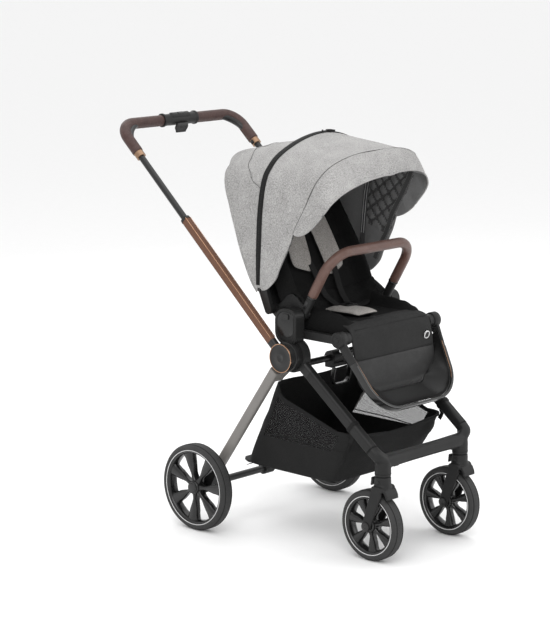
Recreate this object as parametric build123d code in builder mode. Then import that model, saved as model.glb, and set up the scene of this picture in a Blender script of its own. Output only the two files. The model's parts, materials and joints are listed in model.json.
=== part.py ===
from build123d import *
import os
from math import atan2, cos, degrees, hypot, radians, sin

# Baby stroller with a reversible seat unit: swivelling front wheels, a folding
# chassis, a telescopic handle, a reclining backrest, a fold-back canopy, a
# footrest and a bumper bar.  Millimetres, +Z up, the child faces -Y and +X is
# the child's left.  Side-view sizes are given as (y, z), with y counted back
# from the front swivel axes.

os.makedirs("parts", exist_ok=True)

# ---- driving dimensions -----------------------------------------------------
fit_gap = 0.05            # radial clearance of a turning or sliding fit
seat_gap = 0.1            # clearance of a part that is seated and does not move
soft_gap = 0.3            # clearance between bodies that pass each other

# wheels
front_wheel_r = 95.0
rear_wheel_r = 120.0
tyre_width = 41.0
tyre_depth = 17.5
tyre_crown = 9.0
rim_width = 30.0
rim_depth = 12.0
spoke_count = 7
spoke_width = 11.0
spoke_depth = 25.0
wheel_hub_r = 19.0
wheel_hub_width = 39.0
bearing_r = 13.0
bearing_width = 9.0
axle_r = 6.0
axle_cap_r = 13.5
axle_cap_length = 2.5

# front casters
swivel_half_track = 160.0
caster_trail = 33.4
swivel_plane_z = 232.0
column_r = 21.5
stem_r = 7.0
stem_length = 50.0
fork_arm = 7.0
fork_arm_gap = 1.2
fork_boss_r = 14.0
fork_top_width = 36.0
fork_crown_z = 193.5
fork_crown_height = 11.0
lock_pin_r = 2.0
lock_width = 20.0
lock_ear = 3.0
lock_offset = 27.0
lock_z = 223.0
lock_length = 17.0

# folding hub and chassis
hub_y = 287.0
hub_z = 514.0
hub_bolt_r = 6.0
hub_bolt_head_r = 10.0
hub_bolt_head = 6.0
hub_core_r = 45.0
hub_core_in = 172.0
hub_core_out = 198.0
hub_cover_r = 38.6
hub_cover_thickness = 3.5
front_leg_x = 185.0
front_leg_angle = 218.0
leg_height = 31.0
leg_width = 25.0
leg_wall = 2.0
leg_corner = 8.0
leg_neck = 22.0
leg_overrun = 10.0
leg_turn_r = 20.0
crossbar_lift = 38.0
crossbar_depth = 36.0
crossbar_height = 34.0
crossbar_round = 14.0
knuckle_r = 22.0
knuckle_drop = 11.0
spigot_length = 18.0
hub_arm_r = 72.0
cross_tube_back = 13.0
cross_tube_drop = 33.0
cross_tube_y = hub_y + cross_tube_back
cross_tube_z = hub_z - cross_tube_drop
cross_tube_r = 9.0
latch_r = 19.5
latch_width = 66.0

# rear frame
rear_axle_y = 565.0
rear_half_track = 275.0
rear_leg_x = 232.0
rear_leg_lift = 0.0901219
rear_leg_angle = -degrees(atan2(hub_z - rear_wheel_r + rear_leg_lift, rear_axle_y - hub_y))
rear_leg_height = 28.0
rear_leg_width = 20.0
rear_eye_r = 28.0
rear_eye_in = 198.5
rear_eye_out = 213.5
rear_bracket_start = 47.0
rear_bracket_end = 76.0
rear_axle_tube_r = 10.0
housing_r = 22.0
housing_out = 250.0
pedal_width = 70.0
pedal_length = 62.0
pedal_thickness = 6.0
pedal_angle = 25.0
pedal_eye_r = 16.0

# handle
pole_x = 230.0
pole_angle = 42.3
sleeve_height = 25.0
sleeve_width = 20.0
sleeve_corner = 7.0
sleeve_start = 57.0
sleeve_end = 491.0
knuckle_eye_r = 36.0
tube_r = 9.0
tube_wall = 1.5
tube_start = 285.0
handle_reach = 845.3
handle_corner_r = 94.0
grip_r = 15.5
collar_r = 13.5
collar_setback = 29.3
collar_start = handle_reach - handle_corner_r - collar_setback
collar_length = 17.0
console_half = 66.0
console_r = 17.0
console_flange_r = 19.5
console_flange = 6.0
trigger_drop = 36.0
trigger_width = 52.0
trigger_travel = 6.0
button_size = 8.0
button_proud = 3.0

# seat unit
seat_setback = 10.0
seat_lift = 78.5
housing_y = hub_y + seat_setback
housing_z = hub_z + seat_lift
housing_length = 76.0
housing_height = 97.0
housing_corner = 34.0
housing_in = 178.0
housing_outer = 214.0
post_length = 30.0
post_height = 34.0
rail_width = 16.5
rail_height = 22.0
rail_drop = 21.5
rail_overrun = 3.0
rail_z = housing_z - rail_drop
rail_rear_y = housing_y + rail_overrun
seat_pan_thickness = 5.0
release_length = 26.0
release_height = 15.0
release_rise = 27.5
release_z = housing_z + release_rise
release_proud = 1.5
release_travel = 4.0
cushion_half = 150.0
cushion_reach = 170.0
cushion_overrun = 15.0
cushion_front_y = housing_y - cushion_reach
cushion_rear_y = housing_y + cushion_overrun
cushion_height = 49.0
cushion_round = 14.0
crotch_pad_setback = 63.0
crotch_pad_width = 104.0
crotch_pad_length = 96.0
crotch_pad_corner = 24.0
crotch_pad_thickness = 11.0
buckle_setback = 135.0
buckle_width = 50.0
buckle_length = 40.0
buckle_corner = 12.0
buckle_thickness = 16.0
buckle_round = 5.0

# backrest
recline_setback = 28.0
recline_drop = 0.5
recline_y = housing_y + recline_setback
recline_z = housing_z - recline_drop
recline_pin_r = 7.0
recline_eye_r = 15.0
back_elbow = (recline_y + 46.5, recline_z + 34.5)
back_elbow_r = 12.0
canopy_setback = 68.0
canopy_lift = 88.0
canopy_y = recline_y + canopy_setback
canopy_z = recline_z + canopy_lift
canopy_pin_r = 5.0
canopy_eye_r = 13.0
back_angle = 63.7
back_arm_in = 186.0
back_arm_out = 199.5
back_tube_r = 8.0
back_tube_x = 186.0
back_length = 288.0
back_corner_r = 60.0
board_thickness = 4.0
lever_drop = 76.0
pad_half = 172.0
pad_start = -56.0
pad_thickness = 35.0
bolster_width = 32.0
bolster_height = 27.0
shoulder_pad_x = 58.0
shoulder_pad_width = 50.0
shoulder_pad_length = 150.0
shoulder_pad_start = 62.0
shoulder_pad_thickness = 13.0

# canopy: nested hoops about the canopy pins
canopy_corner_r = 170.0
canopy_cloth = 1.5
canopy_bow = 2.2
canopy_layer = 0.3
rear_hoop_half = 203.0
rear_hoop_r = 400.0
middle_hoop_r = 420.0
front_hoop_r = 441.0
canopy_rear_start = 57.0
canopy_zip_angle = 94.5
canopy_seam_angle = 122.5
visor_start_angle = 119.0
visor_end_angle = 132.5
visor_leg_start = 195.0
bow_width_angle = 2.0

# footrest
rail_reach = 172.0
footrest_lift = 7.0
footrest_y = housing_y - rail_reach
footrest_z = rail_z + footrest_lift
footrest_pin_r = 6.0
footrest_disc_r = 21.0
footrest_disc_width = 24.0
footrest_angle = 238.0
footrest_length = 215.0
footrest_top_half = housing_in + footrest_disc_width / 2
footrest_bottom_half = 152.0
footrest_corner_r = 96.0
footrest_band = 8.0
footrest_band_height = 24.0
footrest_rod_r = 5.0
calf_steps = ((-20.6, 2.0), (-34.0, -60.0), (-39.0, -128.0), (-32.0, -162.0))
calf_front = tuple((footrest_y + y, footrest_z + z) for y, z in calf_steps)
calf_half = 160.0
calf_bottom_r = 90.0
calf_thickness = 15.0
tray_length = 48.0
tray_thickness = 4.0

# bumper bar
bumper_advance = 23.0
bumper_lift = 29.5
bumper_y = housing_y - bumper_advance
bumper_z = housing_z + bumper_lift
bumper_x = 165.0
bumper_angle = 120.4
bumper_reach = 199.5
bumper_corner_r = 60.0
bumper_core_r = 8.5
bumper_grip_r = 13.5
bumper_end_r = 12.0
bumper_end_length = 60.0
bumper_pin_r = 6.0
bumper_eye_r = 14.0
bumper_eye_half = 10.0

# basket
basket_floor_z = 182.0
basket_top_z = 430.0
basket_wall = 2.5
basket_floor_half = 172.0
basket_overhang = 10.0
basket_top_half = front_leg_x + basket_overhang
basket_floor_y = (160.0, 490.0)
basket_top_y = (14.0, 360.0)
basket_rim = ((14.0, 311.0), (309.0, 393.0), (345.0, 428.0))
basket_cut_margin = 20.0
basket_strap_r = 250.0
basket_tab_length = 38.0
basket_strap_width = 22.0
basket_strap_thickness = 2.0

# ---- the row frame: y = 0 midway between the front tyres and the console ----
front_reach = front_wheel_r - caster_trail
handle_reach_y = hub_y + handle_reach * cos(radians(pole_angle)) + console_flange_r
swivel_y = (front_reach - handle_reach_y) / 2


def side(y, z):
    """Row (Y, Z) of a side-view point whose y is counted from the swivel axes."""
    return (swivel_y + y, z)


def reach(centre, radius, angle):
    """Side-view point at a radius and an angle above +Y from another point."""
    return (centre[0] + radius * cos(radians(angle)), centre[1] + radius * sin(radians(angle)))


def tilted(centre, angle):
    """Plane through a side-view point: local x is row X, local y points along the angle."""
    normal = (0, -sin(radians(angle)), cos(radians(angle)))
    return Plane(origin=(0, *centre), x_dir=(1, 0, 0), z_dir=normal)


def across(centre):
    """Axis along row X through a side-view point."""
    return Axis((0, *centre), (1, 0, 0))


hub = side(hub_y, hub_z)
recline = side(recline_y, recline_z)
canopy_pivot = side(canopy_y, canopy_z)
footrest_pivot = side(footrest_y, footrest_z)
bumper_pivot = side(bumper_y, bumper_z)
rear_axle_r = (rear_axle_y - hub_y) / cos(radians(rear_leg_angle))
rear_axle_centre = side(rear_axle_y, rear_wheel_r)
pole = tilted(hub, pole_angle)
front_leg = tilted(hub, front_leg_angle)
rear_leg = tilted(hub, rear_leg_angle)
back = tilted(canopy_pivot, back_angle)
footrest = tilted(footrest_pivot, footrest_angle)
bumper = tilted(bumper_pivot, bumper_angle)
fork_inner = tyre_width / 2 + fork_arm_gap
fork_outer = fork_inner + fork_arm

# ---- wheels -----------------------------------------------------------------


def build_tyre(x, centre, radius):
    """Tyre with a crowned tread, about a wheel centre."""
    inner = radius - tyre_depth
    half = tyre_width / 2
    with BuildPart() as tyre:
        with BuildSketch(Plane(origin=(x, *centre), x_dir=(1, 0, 0), z_dir=(0, -1, 0))):
            with BuildLine():
                Polyline((half, radius - tyre_crown), (half, inner + 5), (half - 5, inner),
                         (5 - half, inner), (-half, inner + 5), (-half, radius - tyre_crown))
                ThreePointArc((-half, radius - tyre_crown), (0, radius), (half, radius - tyre_crown))
            make_face()
        revolve(axis=across(centre))
    return tyre


def build_rim(x, centre, radius):
    """Spoked rim with a bored hub and a bearing seat at each end."""
    outer = radius - tyre_depth - seat_gap
    band = outer - rim_depth
    start = Plane.YZ.offset(x)
    with BuildPart() as rim:
        with BuildSketch(start.offset(-rim_width / 2)):
            with Locations(centre):
                Circle(outer)
                Circle(band, mode=Mode.SUBTRACT)
        extrude(amount=rim_width)
        with BuildSketch(start.offset(-spoke_depth / 2)):
            with Locations(centre):
                with PolarLocations((band + wheel_hub_r) / 2, spoke_count):
                    Rectangle(band - wheel_hub_r + 4, spoke_width)
        extrude(amount=spoke_depth)
        with BuildSketch(start.offset(-wheel_hub_width / 2)):
            with Locations(centre):
                Circle(wheel_hub_r)
        extrude(amount=wheel_hub_width)
        with BuildSketch(start.offset(-wheel_hub_width / 2)):
            with Locations(centre):
                Circle(axle_r + 2)
        extrude(amount=wheel_hub_width, mode=Mode.SUBTRACT)
        for seat in (-wheel_hub_width / 2, wheel_hub_width / 2 - bearing_width):
            with BuildSketch(start.offset(seat)):
                with Locations(centre):
                    Circle(bearing_r)
            extrude(amount=bearing_width, mode=Mode.SUBTRACT)
    return rim


def build_bearings(x, centre):
    """The two ball bearings of a wheel, as plain rings at their real size."""
    with BuildPart() as bearings:
        for seat in (-wheel_hub_width / 2, wheel_hub_width / 2 - bearing_width):
            with BuildSketch(Plane.YZ.offset(x + seat)):
                with Locations(centre):
                    Circle(bearing_r - fit_gap)
                    Circle(axle_r + fit_gap, mode=Mode.SUBTRACT)
            extrude(amount=bearing_width - seat_gap)
    return bearings


front_axle_centre = side(caster_trail, front_wheel_r)
wheel_places = {
    "front_left": (swivel_half_track, front_axle_centre, front_wheel_r),
    "front_right": (-swivel_half_track, front_axle_centre, front_wheel_r),
    "rear_left": (rear_half_track, rear_axle_centre, rear_wheel_r),
    "rear_right": (-rear_half_track, rear_axle_centre, rear_wheel_r),
}
for place, (wheel_x, centre, radius) in wheel_places.items():
    tyre = build_tyre(wheel_x, centre, radius)
    tyre.part.label = f"{place}_tyre"
    export_step(tyre.part, f"parts/{place}_tyre.step")
    rim = build_rim(wheel_x, centre, radius)
    rim.part.label = f"{place}_rim"
    export_step(rim.part, f"parts/{place}_rim.step")
    bearings = build_bearings(wheel_x, centre)
    bearings.part.label = f"{place}_bearings"
    export_step(bearings.part, f"parts/{place}_bearings.step")

# ---- front casters ----------------------------------------------------------
lock_pivot = side(lock_offset, lock_z)


def build_fork(x):
    """Caster fork: two arms, a crown, the swivel neck and stem, and the lock's ears."""
    with BuildPart() as fork:
        for arm_x in (x - fork_outer, x + fork_inner):
            with BuildSketch(Plane.YZ.offset(arm_x)):
                with Locations(front_axle_centre):
                    Circle(fork_boss_r)
                with Locations(side(0, fork_crown_z + fork_crown_height / 2)):
                    Rectangle(fork_top_width, fork_crown_height)
                make_hull()
            extrude(amount=fork_arm)
        with BuildSketch(Plane.XY.offset(fork_crown_z)):
            with Locations((x, swivel_y - 3)):
                RectangleRounded(2 * fork_outer, fork_top_width + 16, 12)
        extrude(amount=fork_crown_height)
        with BuildSketch(Plane.XY.offset(fork_crown_z)):
            with Locations((x, swivel_y)):
                Circle(column_r)
        extrude(amount=swivel_plane_z - soft_gap - fork_crown_z)
        with BuildSketch(Plane.XY.offset(swivel_plane_z - soft_gap)):
            with Locations((x, swivel_y)):
                Circle(stem_r)
        extrude(amount=stem_length)
        for ear_x in (x - lock_width / 2 - lock_ear, x + lock_width / 2):
            with BuildSketch(Plane.YZ.offset(ear_x)):
                with Locations(lock_pivot):
                    Circle(5)
                with Locations(side(column_r - 6, lock_z)):
                    Rectangle(4, 14)
                make_hull()
            extrude(amount=lock_ear)
        with BuildSketch(Plane.YZ.offset(x - lock_width / 2 - lock_ear)):
            with Locations(lock_pivot):
                Circle(lock_pin_r + fit_gap)
        extrude(amount=lock_width + 2 * lock_ear, mode=Mode.SUBTRACT)
        with BuildSketch(Plane.YZ.offset(x - fork_outer)):
            with Locations(front_axle_centre):
                Circle(axle_r + seat_gap)
        extrude(amount=2 * fork_outer, mode=Mode.SUBTRACT)
    return fork


def build_front_axle(x):
    """Steel wheel axle with a cap at each end, through both fork arms."""
    with BuildPart() as axle:
        with BuildSketch(Plane.YZ.offset(x - fork_outer - axle_cap_length)):
            with Locations(front_axle_centre):
                Circle(axle_r)
        extrude(amount=2 * (fork_outer + axle_cap_length))
        for cap_x in (x - fork_outer - axle_cap_length, x + fork_outer + seat_gap):
            with BuildSketch(Plane.YZ.offset(cap_x)):
                with Locations(front_axle_centre):
                    Circle(axle_cap_r)
            extrude(amount=axle_cap_length - seat_gap)
    return axle


def build_swivel_lock(x):
    """Lever that locks the swivel: a barrel on two trunnions with a thumb tab."""
    barrel = lock_width - 2 * soft_gap
    with BuildPart() as lock:
        with BuildSketch(Plane.YZ.offset(x - lock_width / 2 - lock_ear + soft_gap)):
            with Locations(lock_pivot):
                Circle(lock_pin_r)
        extrude(amount=lock_width + 2 * (lock_ear - soft_gap))
        with BuildSketch(Plane.YZ.offset(x - barrel / 2)):
            with Locations(lock_pivot):
                Circle(4)
            with Locations(side(lock_offset + 4, lock_z - lock_length)):
                Circle(2)
            make_hull()
        extrude(amount=barrel)
    return lock


for hand, x in (("left", swivel_half_track), ("right", -swivel_half_track)):
    fork = build_fork(x)
    fork.part.label = f"{hand}_caster_fork"
    export_step(fork.part, f"parts/{hand}_caster_fork.step")
    axle = build_front_axle(x)
    axle.part.label = f"{hand}_front_axle"
    export_step(axle.part, f"parts/{hand}_front_axle.step")
    lock = build_swivel_lock(x)
    lock.part.label = f"{hand}_swivel_lock"
    export_step(lock.part, f"parts/{hand}_swivel_lock.step")

# ---- chassis ----------------------------------------------------------------
leg_start = hub_arm_r + seat_gap
leg_end_r = hub_y / -cos(radians(front_leg_angle))
leg_joint_r = leg_end_r - leg_neck

with BuildPart() as front_legs:
    with BuildSketch(Plane(origin=front_leg.from_local_coords(Vector(front_leg_x, leg_start, 0)),
                           x_dir=(1, 0, 0), z_dir=front_leg.y_dir)):
        RectangleRounded(leg_width, leg_height, leg_corner)
        RectangleRounded(leg_width - 2 * leg_wall, leg_height - 2 * leg_wall, leg_corner - leg_wall,
                         mode=Mode.SUBTRACT)
    extrude(amount=leg_joint_r - leg_start)
    mirror(about=Plane.YZ)
front_legs.part.label = "front_legs"
export_step(front_legs.part, "parts/front_legs.step")

joint_start = leg_joint_r + seat_gap
leg_tip_r = leg_end_r + leg_overrun
leg_end_z = reach(hub, leg_end_r, front_leg_angle)[1]
with BuildPart() as front_crossmember:
    with BuildLine(front_leg) as neck_path:
        FilletPolyline((front_leg_x, joint_start), (front_leg_x, leg_tip_r), (swivel_half_track, leg_tip_r),
                       radius=leg_turn_r)
    with BuildSketch(Plane(origin=neck_path.line @ 0, x_dir=(1, 0, 0), z_dir=neck_path.line % 0)):
        RectangleRounded(leg_width, leg_height, leg_corner)
        RectangleRounded(leg_width - 2 * leg_wall, leg_height - 2 * leg_wall, leg_corner - leg_wall,
                         mode=Mode.SUBTRACT)
    sweep()
    with BuildSketch(Plane(origin=neck_path.line @ 0, x_dir=(1, 0, 0), z_dir=neck_path.line % 0)):
        RectangleRounded(leg_width - leg_wall, leg_height - leg_wall, leg_corner - leg_wall)
    extrude(amount=spigot_length)
    with BuildSketch(Plane(origin=neck_path.line @ 0, x_dir=(1, 0, 0), z_dir=neck_path.line % 0)):
        RectangleRounded(leg_width - 2 * leg_wall - 2 * seat_gap, leg_height - 2 * leg_wall - 2 * seat_gap,
                         leg_corner - leg_wall)
    extrude(amount=-spigot_length)
    with Locations((swivel_half_track, swivel_y, leg_end_z - knuckle_drop)):
        Sphere(knuckle_r)
    mirror(about=Plane.YZ)
    with BuildSketch(Plane.YZ.offset(-swivel_half_track)):
        with Locations(side(0, swivel_plane_z + crossbar_lift)):
            RectangleRounded(crossbar_depth, crossbar_height, crossbar_round)
    extrude(amount=2 * swivel_half_track)
    with BuildSketch(Plane.XY.offset(swivel_plane_z)):
        for column_x in (swivel_half_track, -swivel_half_track):
            with Locations((column_x, swivel_y)):
                Circle(column_r)
    extrude(amount=leg_end_z - knuckle_drop - swivel_plane_z)
    with BuildSketch(Plane.XY.offset(swivel_plane_z)):
        for column_x in (swivel_half_track, -swivel_half_track):
            with Locations((column_x, swivel_y)):
                Circle(stem_r + fit_gap)
    extrude(amount=stem_length + 1, mode=Mode.SUBTRACT)
front_crossmember.part.label = "front_crossmember"
export_step(front_crossmember.part, "parts/front_crossmember.step")

post_base_z = hub_z + hub_core_r * 0.8
housing_floor_z = housing_z - housing_height / 2
with BuildPart() as fold_hubs:
    with BuildSketch(Plane.YZ.offset(hub_core_in)):
        with Locations(hub):
            Circle(hub_core_r)
    extrude(amount=hub_core_out - hub_core_in)
    with BuildSketch(Plane(origin=front_leg.from_local_coords(Vector(front_leg_x, 20, 0)),
                           x_dir=(1, 0, 0), z_dir=front_leg.y_dir)):
        RectangleRounded(leg_width, leg_height, leg_corner)
    extrude(amount=hub_arm_r - 20)
    with BuildSketch(Plane(origin=front_leg.from_local_coords(Vector(front_leg_x, hub_arm_r, 0)),
                           x_dir=(1, 0, 0), z_dir=front_leg.y_dir)):
        RectangleRounded(leg_width - 2 * leg_wall - 2 * seat_gap,
                         leg_height - 2 * leg_wall - 2 * seat_gap, leg_corner - leg_wall)
    extrude(amount=spigot_length)
    with BuildSketch(Plane.XY.offset(hub_z)):
        with Locations(((housing_in + 3 + hub_core_out) / 2, side(housing_y, 0)[0])):
            Rectangle(hub_core_out - housing_in - 3, post_length)
    extrude(amount=housing_floor_z + post_height - hub_z)
    with BuildSketch(Plane.YZ.offset(hub_core_in)):
        with Locations(hub):
            Circle(hub_bolt_r + seat_gap)
    extrude(amount=hub_core_out - hub_core_in, mode=Mode.SUBTRACT)
    mirror(about=Plane.YZ)
fold_hubs.part.label = "fold_hubs"
export_step(fold_hubs.part, "parts/fold_hubs.step")

cover_in = pole_x + sleeve_width / 2
with BuildPart() as hub_bolts:
    with BuildSketch(Plane.YZ.offset(hub_core_in - hub_bolt_head)):
        with Locations(hub):
            RegularPolygon(hub_bolt_head_r, 6)
    extrude(amount=hub_bolt_head - seat_gap)
    with BuildSketch(Plane.YZ.offset(hub_core_in - hub_bolt_head)):
        with Locations(hub):
            Circle(hub_bolt_r)
    extrude(amount=cover_in - seat_gap - hub_core_in + hub_bolt_head)
    mirror(about=Plane.YZ)
hub_bolts.part.label = "hub_bolts"
export_step(hub_bolts.part, "parts/hub_bolts.step")

with BuildPart() as hub_covers:
    with BuildSketch(Plane.YZ.offset(cover_in)):
        with Locations(hub):
            Circle(hub_cover_r)
    extrude(amount=hub_cover_thickness)
    chamfer(hub_covers.edges().group_by(Axis.X)[-1], 1)
    mirror(about=Plane.YZ)
hub_covers.part.label = "hub_covers"
export_step(hub_covers.part, "parts/hub_covers.step")

cross_tube_centre = side(cross_tube_y, cross_tube_z)
with BuildPart() as cross_tube:
    with BuildSketch(Plane.YZ.offset(-hub_core_in + seat_gap)):
        with Locations(cross_tube_centre):
            Circle(cross_tube_r)
            Circle(cross_tube_r - leg_wall, mode=Mode.SUBTRACT)
    extrude(amount=2 * (hub_core_in - seat_gap))
cross_tube.part.label = "cross_tube"
export_step(cross_tube.part, "parts/cross_tube.step")

with BuildPart() as fold_latch:
    with BuildSketch(Plane.YZ.offset(-latch_width / 2)):
        with Locations(cross_tube_centre):
            Circle(latch_r)
            with Locations((4, -latch_r)):
                Rectangle(2 * latch_r - 14, 16)
    extrude(amount=latch_width)
    fillet(fold_latch.edges().filter_by(GeomType.LINE).group_by(Axis.Z)[0], 3)
    with BuildSketch(Plane.YZ.offset(-latch_width / 2)):
        with Locations(cross_tube_centre):
            Circle(cross_tube_r + seat_gap)
    extrude(amount=latch_width, mode=Mode.SUBTRACT)
fold_latch.part.label = "fold_latch"
export_step(fold_latch.part, "parts/fold_latch.step")



def basket_half(z):
    """Half-width of the basket's outer face at a height."""
    slope = (basket_top_half - basket_floor_half) / (basket_top_z - basket_floor_z)
    return basket_floor_half + slope * (z - basket_floor_z)


tab_end = front_leg.from_local_coords(Vector(0, basket_strap_r, leg_height / 2 + basket_tab_length))
tab_x = basket_half(tab_end.Z) - basket_wall / 2
with BuildPart() as basket:
    for grow, mode in ((0, Mode.ADD), (-basket_wall, Mode.SUBTRACT)):
        for z, half, (front_y, rear_y) in ((basket_floor_z - grow, basket_floor_half, basket_floor_y),
                                           (basket_top_z, basket_top_half, basket_top_y)):
            with BuildSketch(Plane.XY.offset(z)):
                with Locations((0, swivel_y + (front_y + rear_y) / 2)):
                    Rectangle(2 * (half + grow), rear_y - front_y + 2 * grow)
        loft(mode=mode)
    with BuildSketch(Plane.YZ.offset(-basket_top_half - basket_cut_margin)):
        with BuildLine():
            cut_front, cut_rear = basket_top_y[0] - basket_cut_margin, basket_top_y[1] + basket_cut_margin
            cut_top = basket_top_z + basket_cut_margin
            cut_outline = (*basket_rim, (cut_rear, basket_rim[-1][1]), (cut_rear, cut_top),
                           (cut_front, cut_top), (cut_front, basket_rim[0][1]))
            Polyline(*[side(*point) for point in cut_outline], close=True)
        make_face()
    extrude(amount=2 * (basket_top_half + basket_cut_margin), mode=Mode.SUBTRACT)
    strap_grow = seat_gap + basket_strap_thickness
    for strap_x, tab_shift in ((front_leg_x, tab_x - front_leg_x), (-front_leg_x, front_leg_x - tab_x)):
        strap_origin = front_leg.from_local_coords(Vector(strap_x, basket_strap_r, 0))
        with BuildSketch(Plane(origin=strap_origin, x_dir=(1, 0, 0), z_dir=front_leg.y_dir)):
            RectangleRounded(leg_width + 2 * strap_grow, leg_height + 2 * strap_grow, leg_corner)
            with Locations((tab_shift, -leg_height / 2 - seat_gap - basket_tab_length / 2)):
                Rectangle(basket_strap_thickness + 1, basket_tab_length)
            RectangleRounded(leg_width + 2 * seat_gap, leg_height + 2 * seat_gap, leg_corner, mode=Mode.SUBTRACT)
        extrude(amount=basket_strap_width)
basket.part.label = "basket"
export_step(basket.part, "parts/basket.step")

# ---- rear frame -------------------------------------------------------------
with BuildPart() as rear_legs:
    with BuildSketch(Plane.YZ.offset(rear_eye_in)):
        with Locations(hub):
            Circle(rear_eye_r)
        with Locations(reach(hub, rear_bracket_end - 8, rear_leg_angle)):
            Circle(rear_leg_height / 2)
        make_hull()
    extrude(amount=rear_eye_out - rear_eye_in)
    bracket_length = rear_bracket_end - rear_bracket_start
    bracket_origin = rear_leg.from_local_coords(Vector((rear_eye_in + rear_leg_x) / 2, rear_bracket_start, 0))
    with BuildSketch(Plane(origin=bracket_origin, x_dir=(1, 0, 0), z_dir=rear_leg.y_dir)):
        Rectangle(rear_leg_x - rear_eye_in, rear_leg_height)
    extrude(amount=bracket_length)
    with BuildSketch(Plane(origin=rear_leg.from_local_coords(Vector(rear_leg_x, rear_bracket_start, 0)),
                           x_dir=(1, 0, 0), z_dir=rear_leg.y_dir)):
        RectangleRounded(rear_leg_width, rear_leg_height, 7)
    extrude(amount=rear_axle_r - housing_r - 1 - rear_bracket_start)
    with BuildSketch(Plane.YZ.offset(rear_eye_in)):
        with Locations(hub):
            Circle(hub_bolt_r + fit_gap)
    extrude(amount=rear_eye_out - rear_eye_in, mode=Mode.SUBTRACT)
    mirror(about=Plane.YZ)
rear_legs.part.label = "rear_legs"
export_step(rear_legs.part, "parts/rear_legs.step")

housing_in_x = rear_leg_x - rear_leg_width / 2 - 2
with BuildPart() as wheel_housings:
    with BuildSketch(Plane.YZ.offset(housing_in_x)):
        with Locations(rear_axle_centre):
            Circle(housing_r)
        with Locations(reach(rear_axle_centre, housing_r + 22, rear_leg_angle + 180)):
            Circle(rear_leg_height / 2 + 2.5)
        make_hull()
    extrude(amount=housing_out - housing_in_x)
    with BuildSketch(Plane(origin=rear_leg.from_local_coords(Vector(rear_leg_x, rear_axle_r - housing_r - 1, 0)),
                           x_dir=(1, 0, 0), z_dir=rear_leg.y_dir)):
        RectangleRounded(rear_leg_width + 2 * seat_gap, rear_leg_height + 2 * seat_gap, 7)
    extrude(amount=-80, mode=Mode.SUBTRACT)
    with BuildSketch(Plane.YZ.offset(housing_in_x)):
        with Locations(rear_axle_centre):
            Circle(rear_axle_tube_r + seat_gap)
    extrude(amount=housing_out - housing_in_x, mode=Mode.SUBTRACT)
    mirror(about=Plane.YZ)
wheel_housings.part.label = "wheel_housings"
export_step(wheel_housings.part, "parts/wheel_housings.step")

rear_hub_in = rear_half_track - wheel_hub_width / 2
rear_hub_out = rear_half_track + wheel_hub_width / 2
with BuildPart() as rear_axle:
    with BuildSketch(Plane.YZ.offset(-rear_hub_in + soft_gap)):
        with Locations(rear_axle_centre):
            Circle(rear_axle_tube_r)
    extrude(amount=2 * (rear_hub_in - soft_gap))
    with BuildSketch(Plane.YZ.offset(-rear_hub_out - axle_cap_length)):
        with Locations(rear_axle_centre):
            Circle(axle_r)
    extrude(amount=2 * (rear_hub_out + axle_cap_length))
    for cap_x in (rear_hub_out + soft_gap, -rear_hub_out - soft_gap - axle_cap_length):
        with BuildSketch(Plane.YZ.offset(cap_x)):
            with Locations(rear_axle_centre):
                Circle(axle_cap_r + 2)
        extrude(amount=axle_cap_length)
rear_axle.part.label = "rear_axle"
export_step(rear_axle.part, "parts/rear_axle.step")

with BuildPart() as brake_pedal:
    with BuildSketch(Plane.YZ.offset(-pedal_width / 4)):
        with Locations(rear_axle_centre):
            Circle(pedal_eye_r)
            Circle(rear_axle_tube_r + fit_gap, mode=Mode.SUBTRACT)
    extrude(amount=pedal_width / 2)
    pedal_plane = tilted(rear_axle_centre, pedal_angle)
    with BuildSketch(pedal_plane.offset(-pedal_thickness / 2)):
        with Locations((0, (pedal_length + pedal_eye_r - 4) / 2)):
            Rectangle(pedal_width / 2 - 8, pedal_length - pedal_eye_r + 4)
        with Locations((0, pedal_length - 12)):
            RectangleRounded(pedal_width, 24, 9)
    extrude(amount=pedal_thickness)
brake_pedal.part.label = "brake_pedal"
export_step(brake_pedal.part, "parts/brake_pedal.step")

# ---- handle poles -----------------------------------------------------------


def pole_section(distance, x=pole_x):
    """Plane square to a pole at a distance from the hub."""
    origin = pole.from_local_coords(Vector(x, distance, 0))
    return Plane(origin=origin, x_dir=(1, 0, 0), z_dir=pole.y_dir)


knuckle_in = housing_outer + soft_gap
with BuildPart() as pole_knuckles:
    with BuildSketch(Plane.YZ.offset(knuckle_in)):
        with Locations(hub):
            Circle(knuckle_eye_r)
    extrude(amount=cover_in - soft_gap - knuckle_in)
    with BuildSketch(pole_section(0)):
        RectangleRounded(sleeve_width - 2 * soft_gap, sleeve_height, sleeve_corner)
    extrude(amount=sleeve_start - seat_gap)
    with BuildSketch(pole_section(sleeve_start - seat_gap)):
        Circle(tube_r)
    extrude(amount=spigot_length - 4)
    with BuildSketch(Plane.YZ.offset(knuckle_in)):
        with Locations(hub):
            Circle(hub_bolt_r + fit_gap)
    extrude(amount=cover_in - knuckle_in, mode=Mode.SUBTRACT)
    mirror(about=Plane.YZ)
pole_knuckles.part.label = "pole_knuckles"
export_step(pole_knuckles.part, "parts/pole_knuckles.step")

with BuildPart() as pole_sleeves:
    with BuildSketch(pole_section(sleeve_start)):
        RectangleRounded(sleeve_width, sleeve_height, sleeve_corner)
        Circle(tube_r + fit_gap, mode=Mode.SUBTRACT)
    extrude(amount=sleeve_end - sleeve_start)
    mirror(about=Plane.YZ)
pole_sleeves.part.label = "pole_sleeves"
export_step(pole_sleeves.part, "parts/pole_sleeves.step")

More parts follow.
